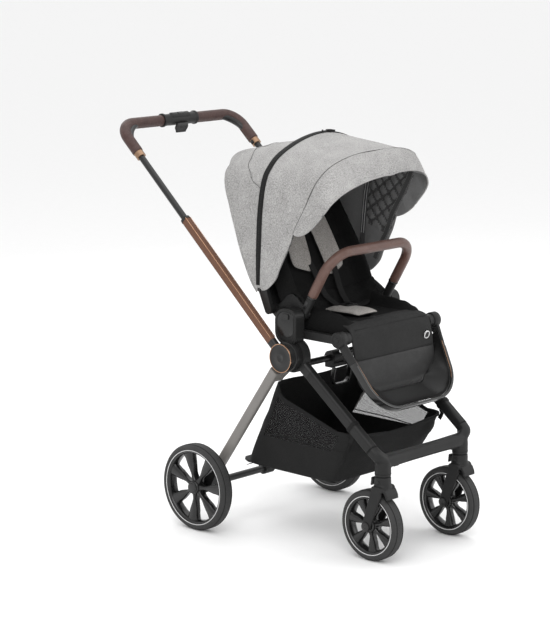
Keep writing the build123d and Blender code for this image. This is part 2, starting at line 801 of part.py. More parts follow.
with BuildPart() as handlebar_tube:
    with BuildLine(pole) as handle_path:
        FilletPolyline((pole_x, tube_start), (pole_x, handle_reach), (-pole_x, handle_reach),
                       (-pole_x, tube_start), radius=handle_corner_r)
    with BuildSketch(pole_section(tube_start)):
        Circle(tube_r)
        Circle(tube_r - tube_wall, mode=Mode.SUBTRACT)
    sweep()
handlebar_tube.part.label = "handlebar_tube"
export_step(handlebar_tube.part, "parts/handlebar_tube.step")

grip_start = collar_start + collar_length + seat_gap
with BuildPart() as handle_grips:
    with BuildLine(pole) as grip_path:
        FilletPolyline((pole_x, grip_start), (pole_x, handle_reach), (console_half + seat_gap, handle_reach),
                       radius=handle_corner_r)
    with BuildSketch(pole_section(grip_start)):
        Circle(grip_r)
        Circle(tube_r + seat_gap, mode=Mode.SUBTRACT)
    sweep()
    mirror(about=Plane.YZ)
handle_grips.part.label = "handle_grips"
export_step(handle_grips.part, "parts/handle_grips.step")

button_pocket = button_size + 2 * soft_gap
button_face_x = pole_x - collar_r - button_proud
button_middle = collar_start + collar_length / 2
button_depth = button_proud + 1.0
with BuildPart() as grip_collars:
    with BuildSketch(pole_section(collar_start)):
        Circle(collar_r)
        Circle(tube_r + seat_gap, mode=Mode.SUBTRACT)
    extrude(amount=collar_length)
    pocket_plane = Plane(origin=pole.from_local_coords(Vector(pole_x - collar_r - 1, button_middle, 0)),
                         x_dir=pole.y_dir, z_dir=(1, 0, 0))
    with BuildSketch(pocket_plane):
        Rectangle(button_pocket, button_pocket)
    extrude(amount=collar_r - tube_r + 0.5, mode=Mode.SUBTRACT)
    mirror(about=Plane.YZ)
grip_collars.part.label = "grip_collars"
export_step(grip_collars.part, "parts/grip_collars.step")

for hand, sign in (("left", 1), ("right", -1)):
    start_x = button_face_x if sign > 0 else -button_face_x - button_depth
    with BuildPart() as height_button:
        with BuildSketch(Plane(origin=pole.from_local_coords(Vector(start_x, button_middle, 0)),
                               x_dir=pole.y_dir, z_dir=(1, 0, 0))):
            Rectangle(button_size, button_size)
        extrude(amount=button_depth)
    height_button.part.label = f"{hand}_height_button"
    export_step(height_button.part, f"parts/{hand}_height_button.step")

trigger_angle = 243.0
bar_centre = reach(hub, handle_reach, pole_angle)
lever = tilted(bar_centre, trigger_angle)
with BuildPart() as console:
    with BuildSketch(Plane.YZ.offset(-console_half)):
        with Locations(bar_centre):
            Circle(console_r)
    extrude(amount=2 * console_half)
    for flange_x in (-console_half, console_half - console_flange):
        with BuildSketch(Plane.YZ.offset(flange_x)):
            with Locations(bar_centre):
                Circle(console_flange_r)
        extrude(amount=console_flange)
    with BuildSketch(Plane(origin=lever.origin, x_dir=(1, 0, 0), z_dir=lever.y_dir)):
        Rectangle(2 * console_half - 24, 2 * console_r - 4)
    with BuildSketch(Plane(origin=lever.origin, x_dir=(1, 0, 0), z_dir=lever.y_dir).offset(trigger_drop - 6)):
        Rectangle(trigger_width + 10, 2 * console_r - 12)
    loft()
    with BuildSketch(Plane(origin=lever.origin, x_dir=(1, 0, 0), z_dir=lever.y_dir).offset(trigger_drop - 16)):
        Rectangle(trigger_width + 2 * soft_gap, 2 * console_r - 20 + 2 * soft_gap)
    extrude(amount=20, mode=Mode.SUBTRACT)
    with BuildSketch(Plane.YZ.offset(-console_half)):
        with Locations(bar_centre):
            Circle(tube_r + seat_gap)
    extrude(amount=2 * console_half, mode=Mode.SUBTRACT)
console.part.label = "console"
export_step(console.part, "parts/console.step")

with BuildPart() as fold_trigger:
    trigger_plane = Plane(origin=lever.origin, x_dir=(1, 0, 0), z_dir=lever.y_dir)
    with BuildSketch(trigger_plane.offset(trigger_drop - 16 + trigger_travel + soft_gap)):
        Rectangle(trigger_width, 2 * console_r - 20)
    extrude(amount=10 + trigger_travel)
    fillet(fold_trigger.edges().filter_by(Axis.X).group_by(Axis.Z)[0], 3)
fold_trigger.part.label = "fold_trigger"
export_step(fold_trigger.part, "parts/fold_trigger.step")

# ---- seat unit --------------------------------------------------------------
housing_centre = side(housing_y, housing_z)
post_gap = 0.4
release_centre = side(housing_y, release_z)
release_depth = 8.0
bumper_pin_length = housing_in - bumper_x + bumper_eye_half
with BuildPart() as seat_housings:
    with BuildSketch(Plane.YZ.offset(housing_in)):
        with Locations(housing_centre):
            RectangleRounded(housing_length, housing_height, housing_corner)
    extrude(amount=housing_outer - housing_in)
    chamfer(seat_housings.edges().group_by(Axis.X)[-1], 3)
    with BuildSketch(Plane.XY.offset(housing_floor_z)):
        with Locations(((housing_in + 3 + hub_core_out) / 2, swivel_y + housing_y)):
            Rectangle(hub_core_out - housing_in - 3 + 2 * post_gap, post_length + 2 * post_gap)
    extrude(amount=post_height + post_gap, mode=Mode.SUBTRACT)
    with BuildSketch(Plane.YZ.offset(housing_in)):
        with Locations(hub):
            Circle(hub_core_r + post_gap)
    extrude(amount=hub_core_out - housing_in + post_gap, mode=Mode.SUBTRACT)
    with BuildSketch(Plane.YZ.offset(housing_outer)):
        with Locations(release_centre):
            Rectangle(release_length + 2 * soft_gap, release_height + 2 * soft_gap)
    extrude(amount=-release_depth - release_travel, mode=Mode.SUBTRACT)
    for pin_centre, pin_r, pin_length in ((recline, recline_pin_r, rail_width),
                                          (bumper_pivot, bumper_pin_r, bumper_pin_length)):
        with BuildSketch(Plane.YZ.offset(housing_in)):
            with Locations(pin_centre):
                Circle(pin_r)
        extrude(amount=-pin_length)
    mirror(about=Plane.YZ)
seat_housings.part.label = "seat_housings"
export_step(seat_housings.part, "parts/seat_housings.step")

for hand, sign in (("left", 1), ("right", -1)):
    inner_x = housing_outer + release_proud - release_depth
    start_x = inner_x if sign > 0 else -inner_x - release_depth
    with BuildPart() as seat_release:
        with BuildSketch(Plane.YZ.offset(start_x)):
            with Locations(release_centre):
                RectangleRounded(release_length, release_height, 5)
        extrude(amount=release_depth)
    seat_release.part.label = f"{hand}_seat_release"
    export_step(seat_release.part, f"parts/{hand}_seat_release.step")

rail_in = housing_in - rail_width
with BuildPart() as seat_frame:
    with BuildSketch(Plane.YZ.offset(rail_in)):
        with Locations(side((footrest_y + rail_rear_y) / 2, rail_z)):
            Rectangle(rail_rear_y - footrest_y, rail_height)
        with Locations(footrest_pivot):
            Circle(footrest_disc_r - 4)
    extrude(amount=rail_width)
    with BuildSketch(Plane.YZ.offset(rail_in)):
        with Locations(footrest_pivot):
            Circle(footrest_pin_r)
    extrude(amount=rail_width + footrest_disc_width + 1)
    mirror(about=Plane.YZ)
    with BuildSketch(Plane.XY.offset(rail_z - rail_height / 2)):
        with Locations((0, swivel_y + (footrest_y + 10 + rail_rear_y) / 2)):
            Rectangle(2 * rail_in + 2, rail_rear_y - footrest_y - 10)
    extrude(amount=seat_pan_thickness)
seat_frame.part.label = "seat_frame"
export_step(seat_frame.part, "parts/seat_frame.step")

cushion_z = rail_z - rail_height / 2 + seat_pan_thickness + soft_gap
cushion_top_z = cushion_z + cushion_height
cushion_mid_y = swivel_y + (cushion_front_y + cushion_rear_y) / 2
with BuildPart() as seat_cushion:
    with BuildSketch(Plane.XY.offset(cushion_z)):
        with Locations((0, cushion_mid_y)):
            RectangleRounded(2 * cushion_half, cushion_rear_y - cushion_front_y, 30)
    extrude(amount=cushion_height)
    fillet(seat_cushion.edges().group_by(Axis.Z)[-1], cushion_round)
seat_cushion.part.label = "seat_cushion"
export_step(seat_cushion.part, "parts/seat_cushion.step")

with BuildPart() as crotch_pad:
    with BuildSketch(Plane.XY.offset(cushion_top_z + soft_gap)):
        with Locations((0, swivel_y + cushion_front_y + crotch_pad_setback)):
            RectangleRounded(crotch_pad_width, crotch_pad_length, crotch_pad_corner)
    extrude(amount=crotch_pad_thickness)
    fillet(crotch_pad.edges().group_by(Axis.Z)[-1], buckle_round)
crotch_pad.part.label = "crotch_pad"
export_step(crotch_pad.part, "parts/crotch_pad.step")

with BuildPart() as harness_buckle:
    with BuildSketch(Plane.XY.offset(cushion_top_z + soft_gap)):
        with Locations((0, swivel_y + cushion_front_y + buckle_setback)):
            RectangleRounded(buckle_width, buckle_length, buckle_corner)
    extrude(amount=buckle_thickness)
    fillet(harness_buckle.edges().group_by(Axis.Z)[-1], buckle_round)
harness_buckle.part.label = "harness_buckle"
export_step(harness_buckle.part, "parts/harness_buckle.step")

# ---- backrest ---------------------------------------------------------------
elbow = side(*back_elbow)
with BuildPart() as back_frame:
    with BuildSketch(Plane.YZ.offset(rail_in)):
        with Locations(recline):
            Circle(recline_eye_r)
        with Locations(elbow):
            Circle(back_elbow_r)
        make_hull()
    extrude(amount=rail_width - soft_gap)
    with BuildSketch(Plane.YZ.offset(rail_in)):
        with Locations(elbow):
            Circle(back_elbow_r)
    extrude(amount=back_arm_out - rail_in)
    with BuildSketch(Plane.YZ.offset(back_arm_in)):
        with Locations(elbow):
            Circle(back_elbow_r)
        with Locations(canopy_pivot):
            Circle(14)
        make_hull()
    extrude(amount=back_arm_out - back_arm_in)
    with BuildSketch(Plane.YZ.offset(rail_in)):
        with Locations(recline):
            Circle(recline_pin_r + fit_gap)
    extrude(amount=rail_width, mode=Mode.SUBTRACT)
    canopy_pin_length = rear_hoop_half + 9 - back_arm_in
    with BuildSketch(Plane.YZ.offset(back_arm_in)):
        with Locations(canopy_pivot):
            Circle(canopy_pin_r)
    extrude(amount=canopy_pin_length)
    mirror(about=Plane.YZ)
    with BuildLine(back) as back_path:
        FilletPolyline((back_tube_x, 0), (back_tube_x, back_length), (-back_tube_x, back_length),
                       (-back_tube_x, 0), radius=back_corner_r)
    with BuildSketch(Plane(origin=back_path.line @ 0, x_dir=(1, 0, 0), z_dir=back.y_dir)):
        Circle(back_tube_r)
    sweep()
    with BuildSketch(back.offset(-board_thickness)):
        with Locations((0, (pad_start + back_length) / 2)):
            Rectangle(2 * back_tube_x - 12, back_length - pad_start)
    extrude(amount=board_thickness)
back_frame.part.label = "back_frame"
export_step(back_frame.part, "parts/back_frame.step")

pad_back = back_tube_r + 1
with BuildPart() as back_pad:
    with BuildSketch(Plane(origin=back.from_local_coords(Vector(0, pad_start, 0)),
                           x_dir=(1, 0, 0), z_dir=back.y_dir)):
        with BuildLine():
            pad_front = pad_back + pad_thickness
            Polyline((-pad_half, -pad_back), (-pad_half, -pad_front - bolster_height + 8),
                     (8 - pad_half, -pad_front - bolster_height),
                     (bolster_width - pad_half - 8, -pad_front - bolster_height),
                     (bolster_width - pad_half + 6, -pad_front), (pad_half - bolster_width - 6, -pad_front),
                     (pad_half - bolster_width + 8, -pad_front - bolster_height),
                     (pad_half - 8, -pad_front - bolster_height), (pad_half, -pad_front - bolster_height + 8),
                     (pad_half, -pad_back), close=True)
        make_face()
    extrude(amount=back_length - pad_start - 10)
back_pad.part.label = "back_pad"
export_step(back_pad.part, "parts/back_pad.step")

with BuildPart() as shoulder_pads:
    with BuildSketch(back.offset(pad_front + soft_gap)):
        for pad_x in (-shoulder_pad_x, shoulder_pad_x):
            with Locations((pad_x, shoulder_pad_start + shoulder_pad_length / 2)):
                RectangleRounded(shoulder_pad_width, shoulder_pad_length, 16)
    extrude(amount=shoulder_pad_thickness)
shoulder_pads.part.label = "shoulder_pads"
export_step(shoulder_pads.part, "parts/shoulder_pads.step")

lever_start = back_length - lever_drop
with BuildPart() as recline_lever:
    with BuildSketch(back.offset(-board_thickness - soft_gap)):
        with Locations((0, lever_start)):
            RectangleRounded(70, 34, 8)
    extrude(amount=-12)
    with BuildSketch(back.offset(-board_thickness - soft_gap - 5)):
        with Locations((0, lever_start)):
            Rectangle(50, 16)
    extrude(amount=-10, mode=Mode.SUBTRACT)
recline_lever.part.label = "recline_lever"
export_step(recline_lever.part, "parts/recline_lever.step")

# ---- canopy -----------------------------------------------------------------


pin_clear_r = canopy_pin_r + fit_gap


def build_canopy_sector(half, radius, thickness, leg_start, start_angle, end_angle):
    """A hoop-shaped band turned about the canopy pins, from one angle to another."""
    inner_half, inner_r = half - thickness, radius - thickness
    corner = canopy_corner_r
    with BuildPart() as sector:
        with BuildSketch(tilted(canopy_pivot, start_angle)):
            with BuildLine():
                FilletPolyline((-half, leg_start), (-half, radius), (half, radius), (half, leg_start),
                               radius=corner)
                FilletPolyline((-inner_half, leg_start), (-inner_half, inner_r), (inner_half, inner_r),
                               (inner_half, leg_start), radius=corner - thickness)
                Line((-half, leg_start), (-inner_half, leg_start))
                Line((half, leg_start), (inner_half, leg_start))
            make_face()
        revolve(axis=across(canopy_pivot), revolution_arc=end_angle - start_angle)
        if leg_start == pin_clear_r:
            for eye_x in (inner_half, -half):
                with BuildSketch(Plane.YZ.offset(eye_x)):
                    with Locations(canopy_pivot):
                        Circle(canopy_eye_r)
                        Circle(pin_clear_r, mode=Mode.SUBTRACT)
                extrude(amount=thickness)
    return sector


middle_bow_half = rear_hoop_half + canopy_layer + canopy_bow
middle_half = middle_bow_half + canopy_layer + canopy_cloth
front_bow_half = middle_half + canopy_layer + canopy_bow
front_half = front_bow_half + canopy_layer + canopy_cloth
canopy_sectors = {
    "canopy_rear": (rear_hoop_half, rear_hoop_r, canopy_cloth, pin_clear_r,
                    canopy_rear_start, canopy_zip_angle - soft_gap),
    "canopy_middle_bow": (middle_bow_half, middle_hoop_r - canopy_cloth - canopy_layer, canopy_bow, pin_clear_r,
                          canopy_zip_angle, canopy_zip_angle + bow_width_angle),
    "canopy_middle": (middle_half, middle_hoop_r, canopy_cloth, pin_clear_r,
                      canopy_zip_angle, canopy_seam_angle),
    "canopy_front_bow": (front_bow_half, middle_hoop_r + canopy_layer + canopy_bow, canopy_bow, pin_clear_r,
                         canopy_seam_angle - bow_width_angle, canopy_seam_angle),
    "canopy_front": (front_half, front_hoop_r, canopy_cloth, visor_leg_start,
                     visor_start_angle, visor_end_angle),
}
for sector_name, sizes in canopy_sectors.items():
    sector = build_canopy_sector(*sizes)
    sector.part.label = sector_name
    export_step(sector.part, f"parts/{sector_name}.step")

# ---- footrest ---------------------------------------------------------------
disc_in = housing_in + soft_gap
(calf_top_y, calf_top_z), (calf_bend_y, calf_bend_z) = calf_front[:2]
calf_slope = (calf_top_y - calf_bend_y) / (calf_top_z - calf_bend_z)
rod_z = footrest_z - footrest_disc_r - 3
rod_y = (calf_top_y + calf_thickness - calf_slope * (calf_top_z - rod_z)
         + (footrest_rod_r + soft_gap) * hypot(1, calf_slope))
rod_centre = side(rod_y, rod_z)
with BuildPart() as footrest_frame:
    with BuildLine(footrest) as footrest_path:
        FilletPolyline((footrest_top_half, 0), (footrest_bottom_half, footrest_length),
                       (-footrest_bottom_half, footrest_length), (-footrest_top_half, 0),
                       radius=footrest_corner_r)
    with BuildSketch(Plane(origin=footrest_path.line @ 0, x_dir=footrest.z_dir,
                           z_dir=footrest_path.line % 0)):
        RectangleRounded(footrest_band_height, footrest_band, 3)
    sweep()
    with BuildSketch(Plane.YZ.offset(-footrest_top_half)):
        with Locations(rod_centre):
            Circle(footrest_rod_r)
    extrude(amount=2 * footrest_top_half)
    with BuildSketch(Plane.YZ.offset(disc_in)):
        with Locations(footrest_pivot):
            Circle(footrest_disc_r)
    extrude(amount=footrest_disc_width)
    with BuildSketch(Plane.YZ.offset(-disc_in - footrest_disc_width)):
        with Locations(footrest_pivot):
            Circle(footrest_disc_r)
    extrude(amount=footrest_disc_width)
    with BuildSketch(Plane.YZ.offset(-disc_in - footrest_disc_width)):
        with Locations(footrest_pivot):
            Circle(footrest_pin_r + fit_gap)
    extrude(amount=2 * (disc_in + footrest_disc_width), mode=Mode.SUBTRACT)
footrest_frame.part.label = "footrest_frame"
export_step(footrest_frame.part, "parts/footrest_frame.step")

tray_inset = footrest_band / 2 + soft_gap
tray_end = footrest_length - tray_inset
with BuildPart() as foot_tray:
    with BuildSketch(footrest.offset(-tray_thickness / 2)):
        with BuildLine():
            tray_edge = FilletPolyline((footrest_top_half - 2 * tray_inset, 0),
                                       (footrest_bottom_half - 2 * tray_inset, tray_end),
                                       (2 * tray_inset - footrest_bottom_half, tray_end),
                                       (2 * tray_inset - footrest_top_half, 0), radius=footrest_corner_r)
            Line(tray_edge @ 1, tray_edge @ 0)
        make_face()
        with Locations((0, (tray_end - tray_length) / 2)):
            Rectangle(2 * footrest_top_half, tray_end - tray_length, mode=Mode.SUBTRACT)
    extrude(amount=tray_thickness)
foot_tray.part.label = "foot_tray"
export_step(foot_tray.part, "parts/foot_tray.step")

with BuildPart() as calf_pad:
    with BuildSketch(Plane.YZ.offset(-calf_half)):
        with BuildLine():
            calf_back = [(y + calf_thickness, z) for y, z in reversed(calf_front)]
            Polyline(*[side(*point) for point in (*calf_front, *calf_back)], close=True)
        make_face()
    extrude(amount=2 * calf_half)
    with BuildSketch(Plane.XZ.offset(-swivel_y - footrest_y)):
        with BuildLine():
            calf_bottom_z = calf_front[-1][1]
            calf_edge = FilletPolyline((calf_half, calf_top_z), (calf_half - 10, calf_bottom_z),
                                       (10 - calf_half, calf_bottom_z), (-calf_half, calf_top_z),
                                       radius=calf_bottom_r)
            Line(calf_edge @ 1, calf_edge @ 0)
        make_face()
    extrude(amount=2 * footrest_y, both=True, mode=Mode.INTERSECT)
calf_pad.part.label = "calf_pad"
export_step(calf_pad.part, "parts/calf_pad.step")

# ---- bumper bar -------------------------------------------------------------
with BuildPart() as bumper_bar:
    with BuildLine(bumper) as bumper_path:
        FilletPolyline((bumper_x, 0), (bumper_x, bumper_reach), (-bumper_x, bumper_reach),
                       (-bumper_x, 0), radius=bumper_corner_r)
    with BuildSketch(Plane(origin=bumper_path.line @ 0, x_dir=(1, 0, 0), z_dir=bumper.y_dir)):
        Circle(bumper_core_r)
    sweep()
    with BuildSketch(Plane(origin=bumper_path.line @ 0, x_dir=(1, 0, 0), z_dir=bumper.y_dir)):
        for end_x in (0, -2 * bumper_x):
            with Locations((end_x, 0)):
                Circle(bumper_end_r)
    extrude(amount=bumper_end_length)
    for eye_x in (bumper_x, -bumper_x):
        with BuildSketch(Plane.YZ.offset(eye_x - bumper_eye_half)):
            with Locations(bumper_pivot):
                Circle(bumper_eye_r)
        extrude(amount=2 * bumper_eye_half)
    with BuildSketch(Plane.YZ.offset(-bumper_x - 2 * bumper_end_r)):
        with Locations(bumper_pivot):
            Circle(bumper_pin_r + fit_gap)
    extrude(amount=2 * (bumper_x + 2 * bumper_end_r), mode=Mode.SUBTRACT)
bumper_bar.part.label = "bumper_bar"
export_step(bumper_bar.part, "parts/bumper_bar.step")

bumper_grip_start = bumper_end_length + seat_gap
with BuildPart() as bumper_grip:
    with BuildLine(bumper) as bumper_grip_path:
        FilletPolyline((bumper_x, bumper_grip_start), (bumper_x, bumper_reach),
                       (-bumper_x, bumper_reach), (-bumper_x, bumper_grip_start), radius=bumper_corner_r)
    with BuildSketch(Plane(origin=bumper_grip_path.line @ 0, x_dir=(1, 0, 0), z_dir=bumper.y_dir)):
        Circle(bumper_grip_r)
        Circle(bumper_core_r + seat_gap, mode=Mode.SUBTRACT)
    sweep()
bumper_grip.part.label = "bumper_grip"
export_step(bumper_grip.part, "parts/bumper_grip.step")
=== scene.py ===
"""Dressed model of a baby stroller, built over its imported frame.

Shapes are given in millimetres in the frame's side view: x to the child's left, y backwards from the front
swivel axes and z up. ``place`` turns such a point into the frame's metres.
"""
import json
import logging
from collections.abc import Callable, Sequence
from dataclasses import dataclass
from enum import Enum
from math import acos, atan2, copysign, cos, degrees, exp, hypot, pi, radians, sin, sqrt, tan

import bmesh
import bpy
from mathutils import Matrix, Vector, noise


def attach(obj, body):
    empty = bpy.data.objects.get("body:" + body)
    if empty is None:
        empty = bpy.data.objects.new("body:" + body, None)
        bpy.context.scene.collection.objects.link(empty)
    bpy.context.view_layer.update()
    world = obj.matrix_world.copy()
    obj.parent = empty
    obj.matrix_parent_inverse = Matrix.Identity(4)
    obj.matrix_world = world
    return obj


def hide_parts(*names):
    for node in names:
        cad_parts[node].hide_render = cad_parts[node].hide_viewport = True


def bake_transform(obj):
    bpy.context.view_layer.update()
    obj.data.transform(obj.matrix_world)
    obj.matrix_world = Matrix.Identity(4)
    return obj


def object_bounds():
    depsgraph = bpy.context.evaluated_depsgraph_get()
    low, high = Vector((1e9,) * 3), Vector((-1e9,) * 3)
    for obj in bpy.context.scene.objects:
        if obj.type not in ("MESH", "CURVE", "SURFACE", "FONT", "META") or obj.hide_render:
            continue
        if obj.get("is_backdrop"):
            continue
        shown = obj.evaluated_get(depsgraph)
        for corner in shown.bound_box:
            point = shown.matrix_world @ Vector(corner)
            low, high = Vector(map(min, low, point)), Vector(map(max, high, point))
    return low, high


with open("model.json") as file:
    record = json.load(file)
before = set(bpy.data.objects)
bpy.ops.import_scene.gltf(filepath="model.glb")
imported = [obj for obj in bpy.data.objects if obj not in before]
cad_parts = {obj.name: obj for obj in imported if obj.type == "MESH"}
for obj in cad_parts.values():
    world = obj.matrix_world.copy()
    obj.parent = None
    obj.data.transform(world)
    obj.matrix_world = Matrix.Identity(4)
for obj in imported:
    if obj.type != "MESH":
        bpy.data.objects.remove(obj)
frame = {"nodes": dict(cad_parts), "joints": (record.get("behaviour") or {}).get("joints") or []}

log = logging.getLogger("stroller")
MM = 0.001
CYCLE = 6.283
CROSS_CYCLE = 18.85
JOINTS = {joint["name"]: joint for joint in frame["joints"]}
SWIVEL_Y = JOINTS["left_swivel"]["pos_m"][1] / MM
X_AXIS = Vector((1, 0, 0))
Y_AXIS = Vector((0, 1, 0))
Z_AXIS = Vector((0, 0, 1))
Loop = list[tuple[float, float]]
Pairs = Sequence[tuple[float, float]]
Rows = list[list[Vector]]
Section = Callable[[float], Loop]
Object = bpy.types.Object
Socket = bpy.types.NodeSocket


def place(point: Vector) -> Vector:
    """Turn a side-view point in millimetres into the frame's metres."""
    return Vector((point.x, point.y + SWIVEL_Y, point.z)) * MM


def pivot(joint: str) -> Vector:
    """Side-view point of a joint's axis, on the centre plane."""
    _, y, z = JOINTS[joint]["pos_m"]
    return Vector((0, y / MM - SWIVEL_Y, z / MM))


def heading(angle: float) -> Vector:
    """Unit vector in the side view, at an angle in degrees above +Y."""
    return Vector((0, cos(radians(angle)), sin(radians(angle))))


def polar(centre: Vector, radius: float, angle: float, x: float = 0.0) -> Vector:
    """Point at a radius and side-view angle from a centre, moved to x."""
    point = centre + heading(angle) * radius
    return Vector((x, point.y, point.z))


def blend_value(low: float, high: float, share: float) -> float:
    """Smooth step from low to high as share goes from 0 to 1."""
    share = min(max(share, 0.0), 1.0)
    return low + (high - low) * share * share * (3 - 2 * share)


def table_line(value: float, *stops: tuple[float, float]) -> float:
    """Value read from stops that are joined by straight lines.

    Args:
        value: place on the curve.
        stops: (place, value) pairs in rising order.

    Returns:
        The value there.
    """
    for (x0, y0), (x1, y1) in zip(stops, stops[1:]):
        if value <= x1:
            return y0 + (y1 - y0) * (value - x0) / (x1 - x0)
    return stops[-1][1]


def table(value: float, *stops: tuple[float, float]) -> float:
    """Smooth value of a curve through (place, value) stops, held at both ends.

    Args:
        value: place on the curve.
        stops: (place, value) pairs in rising order.

    Returns:
        The value there.
    """
    if value <= stops[0][0]:
        return stops[0][1]
    for (a, low), (b, high) in zip(stops, stops[1:]):
        if value <= b:
            return blend_value(low, high, (value - a) / (b - a))
    return stops[-1][1]


def signed(value: float, power: float) -> float:
    """Power of a value that keeps the value's sign."""
    return copysign(abs(value) ** power, value)


def turns(count: int) -> Loop:
    """Cosine and sine of evenly spaced angles round a circle."""
    angles = [2 * pi * i / count for i in range(count)]
    return [(cos(angle), sin(angle)) for angle in angles]


HUB = pivot("handle_fold")
CANOPY = pivot("canopy_mid_fold")
FOOTREST = pivot("footrest_tilt")
BUMPER = pivot("bumper_tilt")
POLE_ANGLE = degrees(atan2(JOINTS["handle_extend"]["axis"][2], JOINTS["handle_extend"]["axis"][1]))
BACK_ANGLE = degrees(atan2(JOINTS["recline_lever_squeeze"]["axis"][2],
                                     JOINTS["recline_lever_squeeze"]["axis"][1]))
LEG_ANGLE = 218.0
FOOT_ANGLE = 238.0
BUMPER_ANGLE = 120.4
POLE_X = 230.0
LEG_X = 185.0


# ---- finishes ---------------------------------------------------------------


class Effect(Enum):
    """Shared surface effects, each a shader node group."""

    WEAVE = "cloth weave"
    MELANGE = "melange threads"
    MESH = "open ribbed mesh"
    GRAIN = "leather grain"
    SPECKLE = "moulded speckle"
    BRUSHED = "drawn metal"
    TREAD = "fine tread"


@dataclass(frozen=True)
class Finish:
    """One surface finish.

    Args:
        name: material name.
        slot: the record's material slot; not used.
        color: base colour, linear.
        second: colour of the threads, creases or worn spots.
        roughness: middle roughness.
        metallic: 1 for bare metal.
        effect: node group that varies the surface.
        scale: size of the effect's figure in millimetres.
        bump: height of the effect in millimetres.
        coat: clear coat weight.
        sheen: cloth sheen weight.
        specular: dielectric reflection level.
        through: below 1, the effect's mask opens holes.
    """

    name: str
    slot: str
    color: tuple[float, float, float]
    second: tuple[float, float, float]
    roughness: float
    metallic: float = 0.0
    effect: Effect = Effect.SPECKLE
    scale: float = 1.0
    bump: float = 0.1
    coat: float = 0.0
    sheen: float = 0.0
    specular: float = 0.5
    through: float = 1.0

    def material(self) -> bpy.types.Material:
        """Return this finish's material, made on first use.

        Returns:
            The material.
        """
        existing = bpy.data.materials.get(self.name)
        if existing:
            return existing
        mat = bpy.data.materials.new(self.name)
        mat.use_nodes = True
        tree = mat.node_tree
        shader = tree.nodes["Principled BSDF"]
        group = tree.nodes.new("ShaderNodeGroup")
        group.node_tree = effect_group(self.effect)
        bump = tree.nodes.new("ShaderNodeBump")
        for node, values in (
                (group, {"Size": self.scale * MM, "Color": (*self.color, 1), "Second": (*self.second, 1),
                         "Roughness": self.roughness}),
                (bump, {"Distance": self.bump * MM, "Strength": 1.0}),
                (shader, {"Metallic": self.metallic, "Coat Weight": self.coat, "Coat Roughness": 0.12,
                          "Sheen Weight": self.sheen, "Sheen Roughness": 0.4, "Specular IOR Level": self.specular})):
            for label, value in values.items():
                node.inputs[label].default_value = value
        tree.links.new(group.outputs["Height"], bump.inputs["Height"])
        tree.links.new(group.outputs["Color"], shader.inputs["Base Color"])
        tree.links.new(group.outputs["Roughness"], shader.inputs["Roughness"])
        tree.links.new(bump.outputs["Normal"], shader.inputs["Normal"])
        if self.through < 1:
            tree.links.new(group.outputs["Mask"], shader.inputs["Alpha"])
        return mat


